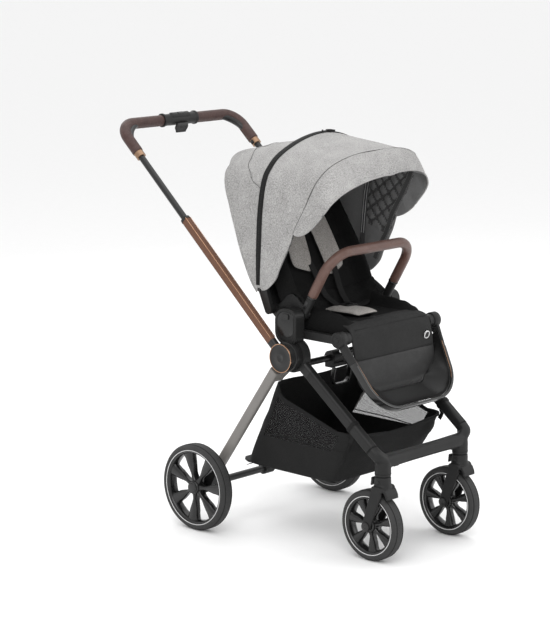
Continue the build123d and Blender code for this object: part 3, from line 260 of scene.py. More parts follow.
class GroupBuilder:
    """Makes one shader node group step by step."""

    def __init__(self, name: str) -> None:
        """Open a group that takes the shared inputs."""
        self.tree = bpy.data.node_groups.new(name, "ShaderNodeTree")
        face = self.tree.interface
        for label, kind in (("Size", "NodeSocketFloat"), ("Color", "NodeSocketColor"),
                            ("Second", "NodeSocketColor"), ("Roughness", "NodeSocketFloat")):
            face.new_socket(label, in_out="INPUT", socket_type=kind)
        for label, kind in (("Color", "NodeSocketColor"), ("Roughness", "NodeSocketFloat"),
                            ("Height", "NodeSocketFloat"), ("Mask", "NodeSocketFloat")):
            face.new_socket(label, in_out="OUTPUT", socket_type=kind)
        self.source = self.tree.nodes.new("NodeGroupInput")
        self.sink = self.tree.nodes.new("NodeGroupOutput")
        self.place = self.add("ShaderNodeTexCoord").outputs["Object"]

    def add(self, kind: str, **settings: object) -> bpy.types.Node:
        """Add a node and set its properties.

        Args:
            kind: node type.
            settings: its properties.

        Returns:
            The node.
        """
        node = self.tree.nodes.new(kind)
        for key, value in settings.items():
            setattr(node, key, value)
        return node

    def feed(self, value: object, socket: Socket) -> None:
        """Link a socket, or set a plain number or colour, on an input.

        Args:
            value: socket, number or colour.
            socket: input it goes to.
        """
        if isinstance(value, Socket):
            self.tree.links.new(value, socket)
        else:
            socket.default_value = value

    def math(self, operation: str, *values: object, clamp: bool = False) -> Socket:
        """Scalar sum on up to three values.

        Args:
            operation: name of the sum.
            values: sockets or numbers.
            clamp: keep it within 0 and 1.

        Returns:
            The result.
        """
        node = self.add("ShaderNodeMath", operation=operation, use_clamp=clamp)
        for value, socket in zip(values, node.inputs):
            self.feed(value, socket)
        return node.outputs[0]

    def scaled(self, stretch: tuple[float, float, float] = (1, 1, 1)) -> Socket:
        """Object coordinates over Size, stretched along the frame's axes.

        Args:
            stretch: length of a figure along each axis.

        Returns:
            The coordinates.
        """
        node = self.add("ShaderNodeVectorMath", operation="DIVIDE")
        size = self.add("ShaderNodeCombineXYZ")
        for stretch_value, socket in zip(stretch, size.inputs):
            self.feed(self.math("MULTIPLY", self.source.outputs["Size"], stretch_value), socket)
        self.feed(self.place, node.inputs[0])
        self.feed(size.outputs[0], node.inputs[1])
        return node.outputs[0]

    def noise(self, vector: object, scale: float, detail: float = 2.0) -> Socket:
        """Noise value between 0 and 1.

        Args:
            vector: coordinates.
            scale: figures per unit.
            detail: finer layers.

        Returns:
            The value.
        """
        node = self.add("ShaderNodeTexNoise")
        self.feed(vector, node.inputs["Vector"])
        node.inputs["Scale"].default_value = scale
        node.inputs["Detail"].default_value = detail
        return node.outputs["Fac"]

    def level(self, value: object, low: float, high: float, out_low: float = 0.0,
              out_high: float = 1.0) -> Socket:
        """Value remapped from low..high to out_low..out_high and clamped.

        Args:
            value: what is remapped.
            low: start of its range.
            high: end of its range.
            out_low: result at low.
            out_high: result at high.

        Returns:
            The remapped value.
        """
        node = self.add("ShaderNodeMapRange")
        for item, socket in zip((value, low, high, out_low, out_high), node.inputs):
            self.feed(item, socket)
        return node.outputs[0]

    def mix(self, share: object, first: object, second: object) -> Socket:
        """Colour mix by share.

        Args:
            share: weight of second.
            first: a colour.
            second: a colour.

        Returns:
            The mixed colour.
        """
        node = self.add("ShaderNodeMix", data_type="RGBA")
        self.feed(share, node.inputs["Factor"])
        self.feed(first, node.inputs[6])
        self.feed(second, node.inputs[7])
        return node.outputs[2]

    def close(self, color: object, roughness: object, height: object, mask: object) -> bpy.types.NodeTree:
        """Link the group's outputs and return its tree."""
        for label, value in (("Color", color), ("Roughness", roughness), ("Height", height), ("Mask", mask)):
            self.feed(value, self.sink.inputs[label])
        return self.tree

    def patchy(self, amount: float) -> Socket:
        """Input roughness varied in slow patches."""
        slow = self.noise(self.place, 14.0, 3.0)
        offset = self.level(slow, 0.3, 0.7, -amount, amount)
        return self.math("ADD", self.source.outputs["Roughness"], offset, clamp=True)


def effect_group(effect: Effect) -> bpy.types.NodeTree:
    """Return an effect's node group, built on first use.

    Args:
        effect: which effect.

    Returns:
        The group, with colour, roughness, height and mask outputs.
    """
    existing = bpy.data.node_groups.get(effect.value)
    if existing:
        return existing
    g = GroupBuilder(effect.value)
    first, second = g.source.outputs["Color"], g.source.outputs["Second"]
    if effect in (Effect.WEAVE, Effect.MELANGE):
        fine = g.scaled()
        parts = g.add("ShaderNodeSeparateXYZ")
        g.feed(fine, parts.inputs[0])
        across = g.math("SINE", g.math("MULTIPLY", g.math("ADD", parts.outputs[0], parts.outputs[1]), CYCLE))
        along = g.math("SINE", g.math("MULTIPLY", parts.outputs[2], CYCLE))
        weave = g.math("MULTIPLY", across, along)
        streak = (1, 1, 2.8) if effect is Effect.MELANGE else (2, 2, 2)
        threads = g.noise(g.scaled(streak), 0.8, 3.0)
        clouds = g.noise(g.place, 22.0, 2.0)
        share = g.level(g.math("ADD", threads, g.math("MULTIPLY", clouds, 0.14)), 0.36, 0.78)
        if effect is Effect.WEAVE:
            share = g.math("MULTIPLY", share, 0.7)
        height = g.math("ADD", g.math("MULTIPLY", weave, 0.5), threads)
        return g.close(g.mix(share, first, second), g.patchy(0.05), height, g.level(weave, -0.1, 0.1, 0.55, 1.0))
    if effect is Effect.MESH:
        parts = g.add("ShaderNodeSeparateXYZ")
        g.feed(g.scaled(), parts.inputs[0])
        lean = g.math("ADD", parts.outputs[1], g.math("MULTIPLY", parts.outputs[2], 0.35))
        ribs = g.math("SINE", g.math("MULTIPLY", g.math("ADD", lean, parts.outputs[0]), CYCLE))
        cross = g.math("SINE", g.math("MULTIPLY", parts.outputs[2], CROSS_CYCLE))
        net = g.math("MAXIMUM", g.level(ribs, 0.1, 0.7), g.level(cross, 0.75, 0.98))
        return g.close(g.mix(net, first, second), g.patchy(0.05), net, g.level(net, 0.0, 1.0, 0.3, 0.8))
    if effect is Effect.GRAIN:
        cells = g.add("ShaderNodeTexVoronoi", feature="DISTANCE_TO_EDGE")
        g.feed(g.scaled(), cells.inputs["Vector"])
        cells.inputs["Scale"].default_value = 1.0
        crease = g.level(cells.outputs["Distance"], 0.0, 0.16)
        mottled = g.noise(g.place, 60.0, 3.0)
        share = g.math("MULTIPLY", g.level(mottled, 0.35, 0.7), crease)
        return g.close(g.mix(share, first, second), g.patchy(0.06), crease, 1.0)
    if effect is Effect.BRUSHED:
        lines = g.noise(g.scaled((1, 14, 14)), 1.0, 2.0)
        share = g.level(lines, 0.35, 0.75, 0.0, 0.5)
        return g.close(g.mix(share, first, second), g.patchy(0.07), lines, 1.0)
    if effect is Effect.TREAD:
        checks = g.add("ShaderNodeTexVoronoi", feature="F1", distance="MANHATTAN")
        g.feed(g.scaled(), checks.inputs["Vector"])
        checks.inputs["Scale"].default_value = 1.0
        checks.inputs["Randomness"].default_value = 0.25
        studs = g.level(checks.outputs["Distance"], 0.25, 0.55, 1.0, 0.0)
        dust = g.level(g.noise(g.place, 30.0, 4.0), 0.4, 0.8)
        share = g.math("MULTIPLY", g.math("ADD", dust, studs), 0.4)
        return g.close(g.mix(share, first, second), g.patchy(0.05), studs, 1.0)
    grains = g.noise(g.scaled(), 1.0, 2.0)
    clouds = g.level(g.noise(g.place, 18.0, 3.0), 0.35, 0.75)
    share = g.math("MULTIPLY", g.math("ADD", clouds, g.level(grains, 0.4, 0.7)), 0.35)
    return g.close(g.mix(share, first, second), g.patchy(0.04), grains, 1.0)


def grey(value: float, warm: float = 0.0) -> tuple[float, float, float]:
    """Linear grey, tinted towards brown by warm."""
    return (value * (1 + warm), value, value * (1 - warm))


FRAME_DARK = Finish("dark grey satin metal", "frame_dark", grey(0.008), grey(0.015), 0.5, scale=0.9, bump=0.02,
                    specular=0.27)
TAUPE = Finish("taupe satin metal", "rear_taupe", grey(0.14, 0.06), grey(0.19, 0.06), 0.4, scale=0.9, bump=0.02)
COPPER = Finish("copper-brown anodised sleeve", "sleeve_copper", (0.125, 0.062, 0.040), (0.155, 0.082, 0.055), 0.62,
                0.15, Effect.BRUSHED, 1.2, 0.01, specular=0.2)
# Polished copper for the hub rings and footrest lines; on the sleeve edges it paints the edges' highlight.
COPPER_BRIGHT = Finish("polished copper", "collar_gold", (0.50, 0.29, 0.18), (0.62, 0.4, 0.27), 0.25, 1.0,
                       Effect.BRUSHED, 0.8, 0.01)
GOLD_COLLAR = Finish("satin copper collar", "collar_gold", (0.26, 0.16, 0.10), (0.36, 0.24, 0.16), 0.32, 0.85,
                     Effect.BRUSHED, 0.8, 0.01)
TUBE_BLACK = Finish("black anodised tube", "tube_black", grey(0.010), grey(0.018), 0.34, 0.0, Effect.BRUSHED, 1.0,
                    0.01, specular=0.4)
HUB_BLACK = Finish("satin black hub", "hub_black", grey(0.012), grey(0.02), 0.42, scale=0.8, bump=0.02,
                   specular=0.35)
PLASTIC = Finish("moulded black plastic", "plastic_black", grey(0.008), grey(0.015), 0.5, scale=0.7, bump=0.04,
                 specular=0.3)
TRAY_PLASTIC = Finish("satin foot tray plastic", "plastic_black", grey(0.003), grey(0.006), 0.36, scale=0.8,
                      bump=0.03, specular=0.22)
# Light grey strip along the footrest band's lower edge: a painted highlight on the band's rim.
EDGE_HIGHLIGHT = Finish("painted grey edge highlight", "rim_black", grey(0.10), grey(0.16), 0.35, 0.6, Effect.BRUSHED, 0.8, 0.01)
GLOSS = Finish("gloss black plastic", "rim_black", grey(0.006), grey(0.012), 0.2, scale=1.2, bump=0.01,
               specular=0.45)
LEATHER = Finish("dark brown leather", "leather_brown", (0.088, 0.045, 0.035), (0.130, 0.072, 0.057), 0.38, 0.0,
                 Effect.GRAIN, 1.6, 0.12, specular=0.45)
GRIP_LEATHER = Finish("dark brown grip leather", "leather_brown", (0.044, 0.021, 0.018), (0.072, 0.038, 0.033), 0.5,
                      0.0, Effect.GRAIN, 2.2, 0.2, specular=0.35)
LEATHER_DARK = Finish("dark leather seam", "leather_brown", (0.03, 0.016, 0.013), (0.045, 0.024, 0.02), 0.6, 0.0,
                      Effect.GRAIN, 1.0, 0.04)
THREAD = Finish("brown thread", "leather_brown", (0.10, 0.055, 0.045), (0.14, 0.08, 0.065), 0.7, 0.0, Effect.WEAVE,
                0.5, 0.05)
TYRE = Finish("tyre rubber", "tyre_black", grey(0.03), grey(0.06), 0.75, 0.0, Effect.TREAD, 3.6, 0.5, specular=0.3)
RUBBER_DARK = Finish("dark rubber seam", "tyre_black", grey(0.008), grey(0.013), 0.8, scale=1.0, bump=0.02,
                     specular=0.2)
WHITE = Finish("white wheel ring", "tyre_black", grey(0.62), grey(0.7), 0.4, scale=1.0, bump=0.02)
STEEL = Finish("turned steel", "steel", grey(0.42), grey(0.55), 0.28, 1.0, Effect.BRUSHED, 0.8, 0.01)
AXLE = Finish("black painted axle", "axle_black", grey(0.012), grey(0.022), 0.35, scale=0.9, bump=0.02,
              specular=0.4)
CANOPY_CLOTH = Finish("grey melange cloth", "canopy_grey", grey(0.13, 0.02), grey(0.52, 0.015), 0.9, 0.0,
                      Effect.MELANGE, 0.95, 0.3, sheen=0.05, specular=0.15)
PAD_CLOTH = Finish("grey pad cloth", "pad_grey", grey(0.12, 0.07), grey(0.45, 0.05), 0.9, 0.0, Effect.MELANGE, 1.0,
                   0.3, sheen=0.05, specular=0.15)
LINER = Finish("black liner cloth", "liner_black", grey(0.004), grey(0.009), 0.85, 0.0, Effect.WEAVE, 1.0, 0.2,
               specular=0.12)
LINING = Finish("dark canopy lining", "liner_black", grey(0.16), grey(0.25), 0.55, 0.0, Effect.WEAVE, 0.8, 0.12,
                sheen=0.1, specular=0.3)
# Darker lining colour for the quilt grooves: painted shade in the hollows of the quilting.
LINING_GROOVE_SHADE = Finish("painted shade in the quilt grooves", "liner_black", grey(0.07), grey(0.11), 0.7, 0.0, Effect.WEAVE, 0.8,
                     0.12, specular=0.2)
CHANNEL = Finish("bow channel cloth", "liner_black", grey(0.06), grey(0.10), 0.7, 0.0, Effect.WEAVE, 1.2, 0.2,
                 specular=0.2)
PIPING_LIGHT = Finish("light grey piping", "pad_grey", grey(0.32), grey(0.45), 0.7, 0.0, Effect.WEAVE, 0.8, 0.1,
                      specular=0.2)
WEBBING = Finish("black webbing", "liner_black", grey(0.005), grey(0.011), 0.75, 0.0, Effect.WEAVE, 1.8, 0.2,
                 specular=0.2)
CALF_WOVEN = Finish("charcoal woven cloth", "calf_charcoal", grey(0.014), grey(0.028), 0.8, 0.0, Effect.WEAVE, 0.9,
                    0.2, specular=0.2)
CALF_SMOOTH = Finish("charcoal leatherette", "calf_charcoal", grey(0.018), grey(0.026), 0.55, 0.0, Effect.GRAIN,
                     1.1, 0.06, specular=0.3)
BASKET_CLOTH = Finish("black basket canvas", "basket_black", grey(0.010), grey(0.019), 0.85, 0.0, Effect.WEAVE, 1.0,
                      0.2, specular=0.15)
MESH_CLOTH = Finish("black basket mesh", "basket_black", grey(0.012), grey(0.03), 0.8, 0.0, Effect.MESH, 4.2, 0.3,
                    through=0.6, specular=0.15)
SEAM_GREY = Finish("dark grey seam tape", "canopy_grey", grey(0.055, 0.01), grey(0.09, 0.01), 0.85, 0.0,
                   Effect.WEAVE, 0.8, 0.1, specular=0.15)
FLOOR = Finish("pale floor", "canopy_grey", grey(0.90), grey(0.92), 0.9, scale=40.0, bump=0.0)
BADGE = Finish("brushed badge ring", "steel", grey(0.55), grey(0.68), 0.25, 1.0, Effect.BRUSHED, 0.8, 0.01)


# ---- mesh tools -------------------------------------------------------------


def oval(across: float, out: float, power: float = 2.0, count: int = 20) -> Loop:
    """Superellipse section with the given half sizes; a higher power is squarer."""
    return [(across * signed(c, 2 / power), out * signed(s, 2 / power)) for c, s in turns(count)]


def steady(across: float, out: float, power: float = 2.0, count: int = 20) -> Section:
    """Section that stays the same all along a line."""
    return lambda share: oval(across, out, power, count)


def drawn_in(middle: tuple[float, float], ends: tuple[float, float], power: float, count: int) -> Section:
    """Section whose half sizes are smaller at the first and last point of a short line."""
    return lambda share: oval(*(middle if 0.1 < share < 0.9 else ends), power, count)


def respaced(points: Sequence[Vector], step: float) -> list[Vector]:
    """Same line with even spacing near step, ends kept.

    Args:
        points: the line.
        step: wanted spacing.

    Returns:
        Evenly spaced points.
    """
    lengths = [0.0]
    for a, b in zip(points, points[1:]):
        lengths.append(lengths[-1] + (b - a).length)
    count = max(2, round(lengths[-1] / step))
    line, k = [], 0
    for i in range(count + 1):
        target = lengths[-1] * i / count
        while k < len(points) - 2 and lengths[k + 1] < target:
            k += 1
        span = max(lengths[k + 1] - lengths[k], 1e-9)
        line.append(points[k].lerp(points[k + 1], min((target - lengths[k]) / span, 1.0)))
    return line


def rounded(corners: Sequence[Vector], radius: float, step: float = 5.0) -> list[Vector]:
    """Line through corners whose inner corners are arcs.

    Args:
        corners: corner points, first and last are kept.
        radius: radius of each arc, cut down where the runs are short.
        step: spacing of the points.

    Returns:
        Evenly spaced points.
    """
    line = [corners[0]]
    for before, corner, after in zip(corners, corners[1:], corners[2:]):
        a, b = before - corner, after - corner
        half = a.angle(b) / 2
        cut = min(radius / tan(half), 0.49 * a.length, 0.49 * b.length)
        r = cut * tan(half)
        a, b = a.normalized(), b.normalized()
        centre = corner + (a + b).normalized() * (r / sin(half))
        first, last = corner + a * cut - centre, corner + b * cut - centre
        count = max(3, round(r * first.angle(last) / step))
        for i in range(count + 1):
            line.append(centre + first.normalized().slerp(last.normalized(), i / count) * r)
    line.append(corners[-1])
    return respaced(line, step)


def spline(points: Sequence[Vector], step: float = 5.0) -> list[Vector]:
    """Smooth line through points, evenly spaced.

    Args:
        points: points the line passes through.
        step: spacing of the result.

    Returns:
        Evenly spaced points.
    """
    ends = [points[0] * 2 - points[1], *points, points[-1] * 2 - points[-2]]
    line = []
    for p0, p1, p2, p3 in zip(ends, ends[1:], ends[2:], ends[3:]):
        for i in range(16):
            t = i / 16
            line.append(0.5 * (2 * p1 + (p2 - p0) * t + (2 * p0 - 5 * p1 + 4 * p2 - p3) * t * t
                               + (3 * p1 - p0 - 3 * p2 + p3) * t ** 3))
    line.append(points[-1])
    return respaced(line, step)


def outline(corners: Pairs, radius: float, step: float = 3.0) -> Loop:
    """Closed polygon with every corner rounded.

    Args:
        corners: the polygon.
        radius: rounding of the corners.
        step: spacing of the result.

    Returns:
        The loop, without its first point again.
    """
    loop = [Vector((0, a, b)) for a, b in corners]
    middle = (loop[-1] + loop[0]) / 2
    line = rounded([middle, *loop, middle], radius, step)
    return [(p.y, p.z) for p in line[:-1]]


def offset_line(path: Sequence[Vector], a: float, b: float, side: Vector = X_AXIS) -> list[Vector]:
    """Line beside a path, at (across, out) as ``Shape.sweep`` counts them.

    Args:
        path: the line.
        a: offset along side, square to the line.
        b: offset out from it.
        side: direction of across.

    Returns:
        The moved points.
    """
    line = []
    for i, point in enumerate(path):
        tangent = (path[min(i + 1, len(path) - 1)] - path[max(i - 1, 0)]).normalized()
        across = (side - tangent * side.dot(tangent)).normalized()
        line.append(point + across * a + tangent.cross(across) * b)
    return line


class Shape:
    """Mesh under construction, in side-view millimetres."""

    def __init__(self) -> None:
        """Start empty."""
        self.bm = bmesh.new()
        self.part = 0

    def grid(self, rows: Sequence[Sequence[Vector]], around: bool = False, along: bool = False,
             caps: bool = False) -> "Shape":
        """Skin rows of points.

        Args:
            rows: rows of equal length.
            around: join each row's end to its start.
            along: join the last row to the first.
            caps: close the first and last row.

        Returns:
            The shape itself.
        """
        verts = [[self.bm.verts.new(point) for point in row] for row in rows]
        count = len(verts[0])
        pairs = list(zip(verts, verts[1:])) + ([(verts[-1], verts[0])] if along else [])
        for low, high in pairs:
            for i in range(count if around else count - 1):
                j = (i + 1) % count
                self.bm.faces.new((low[i], low[j], high[j], high[i])).material_index = self.part
        if caps:
            for row in (verts[0], verts[-1]):
                self.bm.faces.new(row).material_index = self.part
        return self

    def sweep(self, path: Sequence[Vector], section: Section, side: Vector = X_AXIS, closed: bool = False) -> "Shape":
        """Skin a section along a path.

        Args:
            path: points of the line.
            section: (across, out) offsets at a share of the line, across along side.
            side: direction kept square to the line.
            closed: the line is a loop.

        Returns:
            The shape itself.
        """
        rows = []
        count = len(path)
        for i, point in enumerate(path):
            before = path[(i - 1) % count] if closed else path[max(i - 1, 0)]
            after = path[(i + 1) % count] if closed else path[min(i + 1, count - 1)]
            tangent = (after - before).normalized()
            across = (side - tangent * side.dot(tangent)).normalized()
            out = tangent.cross(across)
            rows.append([point + across * a + out * b for a, b in section(i / max(count - 1, 1))])
        return self.grid(rows, around=True, along=closed, caps=not closed)

    def tube(self, path: Sequence[Vector], radius: float, side: Vector = X_AXIS, count: int = 16,
             closed: bool = False) -> "Shape":
        """Round bar along a path."""
        return self.sweep(path, steady(radius, radius, count=count), side, closed)

    def lathe(self, profile: Pairs, centre: Vector, axis: Vector = X_AXIS,
              segments: int = 64, closed: bool = True) -> "Shape":
        """Turn (along, radius) points about an axis through centre.

        Args:
            profile: the points.
            centre: zero of along.
            axis: direction of along.
            segments: steps round the axis.
            closed: the profile is a loop.

        Returns:
            The shape itself.
        """
        axis = axis.normalized()
        first = Z_AXIS if abs(axis.z) < 0.9 else X_AXIS
        first = (first - axis * first.dot(axis)).normalized()
        second = axis.cross(first)
        rows = []
        for c, s in turns(segments):
            radial = first * c + second * s
            rows.append([centre + axis * along + radial * radius for along, radius in profile])
        return self.grid(rows, around=closed, along=True)

    def lathe_pair(self, profile: Pairs, centre: Vector, segments: int = 64,
                   closed: bool = True) -> "Shape":
        """Turn (x, radius) points and their mirror image about a line across the stroller."""
        for side in (-1, 1):
            self.lathe([(side * x, radius) for x, radius in profile], centre, X_AXIS, segments, closed)
        return self

    def slab(self, loop: Pairs, low: float, high: float, bevel: float = 0.0,
             origin: Vector = Vector(), ex: Vector = Y_AXIS, ey: Vector = Z_AXIS,
             steps: int = 3) -> "Shape":
        """Plate with an outline, rounded on the edges of both faces.

        Args:
            loop: closed outline in ex and ey from origin.
            low: lower face, along ex cross ey.
            high: upper face.
            bevel: edge rounding.
            origin: zero of the outline.
            ex: first outline direction.
            ey: second outline direction.
            steps: segments of the rounding.

        Returns:
            The shape itself.
        """
        normal = ex.cross(ey)
        ends = []
        for level in (low, high):
            ends.append([self.bm.verts.new(origin + ex * a + ey * b + normal * level) for a, b in loop])
        faces = [self.bm.faces.new(ends[0]), self.bm.faces.new(ends[1])]
        rims = [edge for face in faces for edge in face.edges]
        for i in range(len(loop)):
            j = (i + 1) % len(loop)
            faces.append(self.bm.faces.new((ends[0][i], ends[0][j], ends[1][j], ends[1][i])))
        for face in faces:
            face.material_index = self.part
        if bevel:
            bmesh.ops.bevel(self.bm, geom=rims, offset=bevel, offset_type="OFFSET", segments=steps, profile=0.5,
                            affect="EDGES", clamp_overlap=True, material=-1)
        return self

    def stitches(self, path: Sequence[Vector], pitch: float = 3.6, length: float = 2.4, thick: float = 0.45,
                 side: Vector = X_AXIS) -> "Shape":
        """Row of separate stitches along a path.

        Args:
            path: the line.
            pitch: distance from stitch to stitch.
            length: length of one.
            thick: half thickness.
            side: direction across.

        Returns:
            The shape itself.
        """
        line = respaced(path, pitch)
        for a, b in zip(line, line[1:]):
            middle, run = (a + b) / 2, (b - a).normalized() * length / 2
            self.sweep([middle - run, middle - run * 0.5, middle + run * 0.5, middle + run],
                       lambda share: oval(thick * (0.55 + 1.8 * share * (1 - share)),
                                          thick * (0.55 + 1.8 * share * (1 - share)), count=6), side)
        return self

    def ripple(self, amount: float, size: float, seed: float = 0.0, where: Callable[[Vector], float] | None = None
               ) -> "Shape":
        """Move points along their normals by smooth noise.

        Args:
            amount: greatest move.
            size: size of a fold.
            seed: moves the figure.
            where: share of the move at a point.

        Returns:
            The shape itself.
        """
        self.bm.normal_update()
        for vert in self.bm.verts:
            share = where(vert.co) if where else 1.0
            if share:
                vert.co += vert.normal * (noise.noise(vert.co / size + Vector((seed, seed, seed))) * amount * share)
        return self

    def mesh(self, name: str) -> bpy.types.Mesh:
        """Close the work and return it as a mesh in metres.

        Args:
            name: name of the mesh.

        Returns:
            The mesh.
        """
        bmesh.ops.recalc_face_normals(self.bm, faces=self.bm.faces)
        for vert in self.bm.verts:
            vert.co = place(vert.co)
        for face in self.bm.faces:
            face.smooth = True
        mesh = bpy.data.meshes.new(name)
        self.bm.to_mesh(mesh)
        self.bm.free()
        return mesh


def bake(obj: Object) -> Object:
    """Apply every modifier to the object's mesh.

    Args:
        obj: object with modifiers.

    Returns:
        The same object.
    """
    graph = bpy.context.evaluated_depsgraph_get()
    graph.update()
    mesh = bpy.data.meshes.new_from_object(obj.evaluated_get(graph))
    old, obj.data = obj.data, mesh
    obj.modifiers.clear()
    bpy.data.meshes.remove(old)
    return obj


def add_modifier(obj: Object, kind: str, **settings: object) -> None:
    """Add a modifier and set its properties."""
    modifier = obj.modifiers.new(kind.lower(), kind)
    for key, value in settings.items():
        setattr(modifier, key, value)


def linked(name: str, data: bpy.types.ID) -> Object:
    """Link a new object that shows some data."""
    obj = bpy.data.objects.new(name, data)
    bpy.context.scene.collection.objects.link(obj)
    return obj


def cast_object(name: str, shape: Shape, voxel: float = 1.8, rounds: int = 4) -> Object:
    """Join a shape's overlapping bodies into one with soft fillets.

    Args:
        name: object name.
        shape: overlapping closed bodies.
        voxel: cell size in millimetres.
        rounds: smoothing rounds.

    Returns:
        The joined object.
    """
    obj = linked(name, shape.mesh(name))
    add_modifier(obj, "REMESH", mode="VOXEL", voxel_size=voxel * MM, use_smooth_shade=True)
    add_modifier(obj, "SMOOTH", factor=0.5, iterations=rounds)
    return bake(obj)


def publish(source: Shape | Object, name: str, finishes: Finish | Sequence[Finish], body: str | None,
            stands_for: Sequence[str] = (), levels: int = 0, bevel: float = 0.0, sharp: float = 40.0,
            thick: float = 0.0) -> Object:
    """Turn a shape into a named, finished piece that rides on a body.

    Args:
        source: shape, or object that is already linked.
        name: piece name.
        finishes: finish per part index.
        body: body the piece rides on, or None where it blends.
        stands_for: CAD nodes the piece replaces.
        levels: subdivision levels.
        bevel: rounding of its sharp edges in millimetres.
        sharp: angle in degrees from which edges stay sharp.
        thick: thickness in millimetres given to an open surface.

    Returns:
        The piece.
    """
    obj = source if isinstance(source, Object) else linked(name, source.mesh(name))
    obj.name = name
    chosen = [finishes] if isinstance(finishes, Finish) else list(finishes)
    for item in chosen:
        obj.data.materials.append(item.material())
    if thick:
        add_modifier(obj, "SOLIDIFY", thickness=thick * MM, offset=0.0, use_rim=True)
    if levels:
        add_modifier(obj, "SUBSURF", levels=levels, render_levels=levels)
    elif sharp < 180:
        obj.data.set_sharp_from_angle(angle=radians(sharp))
    if bevel:
        add_modifier(obj, "BEVEL", width=bevel * MM, segments=3, limit_method="ANGLE",
                     angle_limit=radians(sharp), harden_normals=True)
    bake(obj)
    if body:
        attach(obj, body)
    if stands_for:
        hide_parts(*stands_for)
    log.info("%s: %d faces on %s%s", name, len(obj.data.polygons), body or "two bodies",
             f", for {', '.join(stands_for)}" if stands_for else "")
    return obj


def dress(finish: Finish, *nodes: str, bevel: float = 0.0) -> None:
    """Give CAD nodes a finish and softly rounded edges.

    Args:
        finish: their finish.
        nodes: names of the nodes.
        bevel: edge rounding in millimetres.
    """
    for node in nodes:
        obj = frame["nodes"][node]
        obj.data.materials.clear()
        obj.data.materials.append(finish.material())
        if bevel:
            add_modifier(obj, "BEVEL", width=bevel * MM, segments=2, limit_method="ANGLE",
                         angle_limit=radians(50))
        log.info("%s: dressed as %s", node, finish.name)


def inclined(centre: Vector, angle: float, along: float, out: float, x: float = 0.0) -> Vector:
    """Point given along a direction and out from it in the side view.

    Args:
        centre: start of the direction.
        angle: direction in degrees above +Y.
        along: distance along it.
        out: distance square to it.
        x: place across.

    Returns:
        The point.
    """
    a, n = radians(angle), radians(angle + 90)
    return Vector((x, centre.y + along * cos(a) + out * cos(n), centre.z + along * sin(a)
                   + out * sin(n)))


def stuffed(s_span: tuple[float, float], half: float, narrow: float, cells: tuple[int, int],
            sink: tuple[float, float], top: Callable[[float, float], float], waist: float, base: tuple[float, float],
            spot: Callable[[float, float, float], Vector]) -> Shape:
    """Closed pad whose crowned face and flat back meet in a rounded rim.

    Args:
        s_span: first and last place along the pad.
        half: half width.
        narrow: loss of half width at both ends.
        cells: faces along and across.
        sink: how far the second and third row from an end drop towards the rim.
        top: height of the face at (x, place).
        waist: height of the rim.
        base: height of the back and how much its edge lifts.
        spot: point from x, place and height.

    Returns:
        The pad.
    """
    rows = []
    steps, count = cells
    for i in range(steps + 1):
        share = i / steps
        s = s_span[0] + (s_span[1] - s_span[0]) * share
        drop = table(min(share, 1 - share) * steps, (0, 1.0), (1, sink[0]), (2, sink[1]), (4, 0.0))
        wide = half - narrow * drop
        front, back = [], []
        for k in range(count + 1):
            x, rim = wide - 2 * wide * k / count, min(k, count - k)
            fall = max(table(rim, (0, 1.0), (1, 0.42), (2, 0.16), (4, 0.0)), drop)
            height = top(x, s)
            front.append(spot(x, s, height - (height - waist) * fall ** 1.2))
            lift = max(table(rim, (0, 1.0), (2, 0.3), (4, 0.0)), drop)
            back.append(spot(-wide + 2 * wide * k / count, s, base[0] + base[1] * lift))
        rows.append(front + back)
    return Shape().grid(rows, around=True, caps=True)


def hull(first: tuple[float, float], r1: float, second: tuple[float, float], r2: float,
         count: int = 14) -> Loop:
    """Outline around two circles joined by their tangents.

    Args:
        first: centre of one circle.
        r1: its radius.
        second: centre of the other.
        r2: its radius.
        count: steps along each arc.

    Returns:
        Closed loop of points.
    """
    dy, dz = second[0] - first[0], second[1] - first[1]
    base = atan2(dz, dy)
    lean = acos((r1 - r2) / hypot(dy, dz))
    loop = []
    for (cy, cz), r, start, end in ((first, r1, base + lean, base + 2 * pi - lean),
                                    (second, r2, base - lean, base + lean)):
        for i in range(count + 1):
            angle = start + (end - start) * i / count
            loop.append((cy + r * cos(angle), cz + r * sin(angle)))
    return loop


def joint_point(name: str) -> Vector:
    """Side-view point of a joint, with its own x."""
    x, y, z = JOINTS[name]["pos_m"]
    return Vector((x / MM, y / MM - SWIVEL_Y, z / MM))


# ---- wheels and casters -----------------------------------------------------


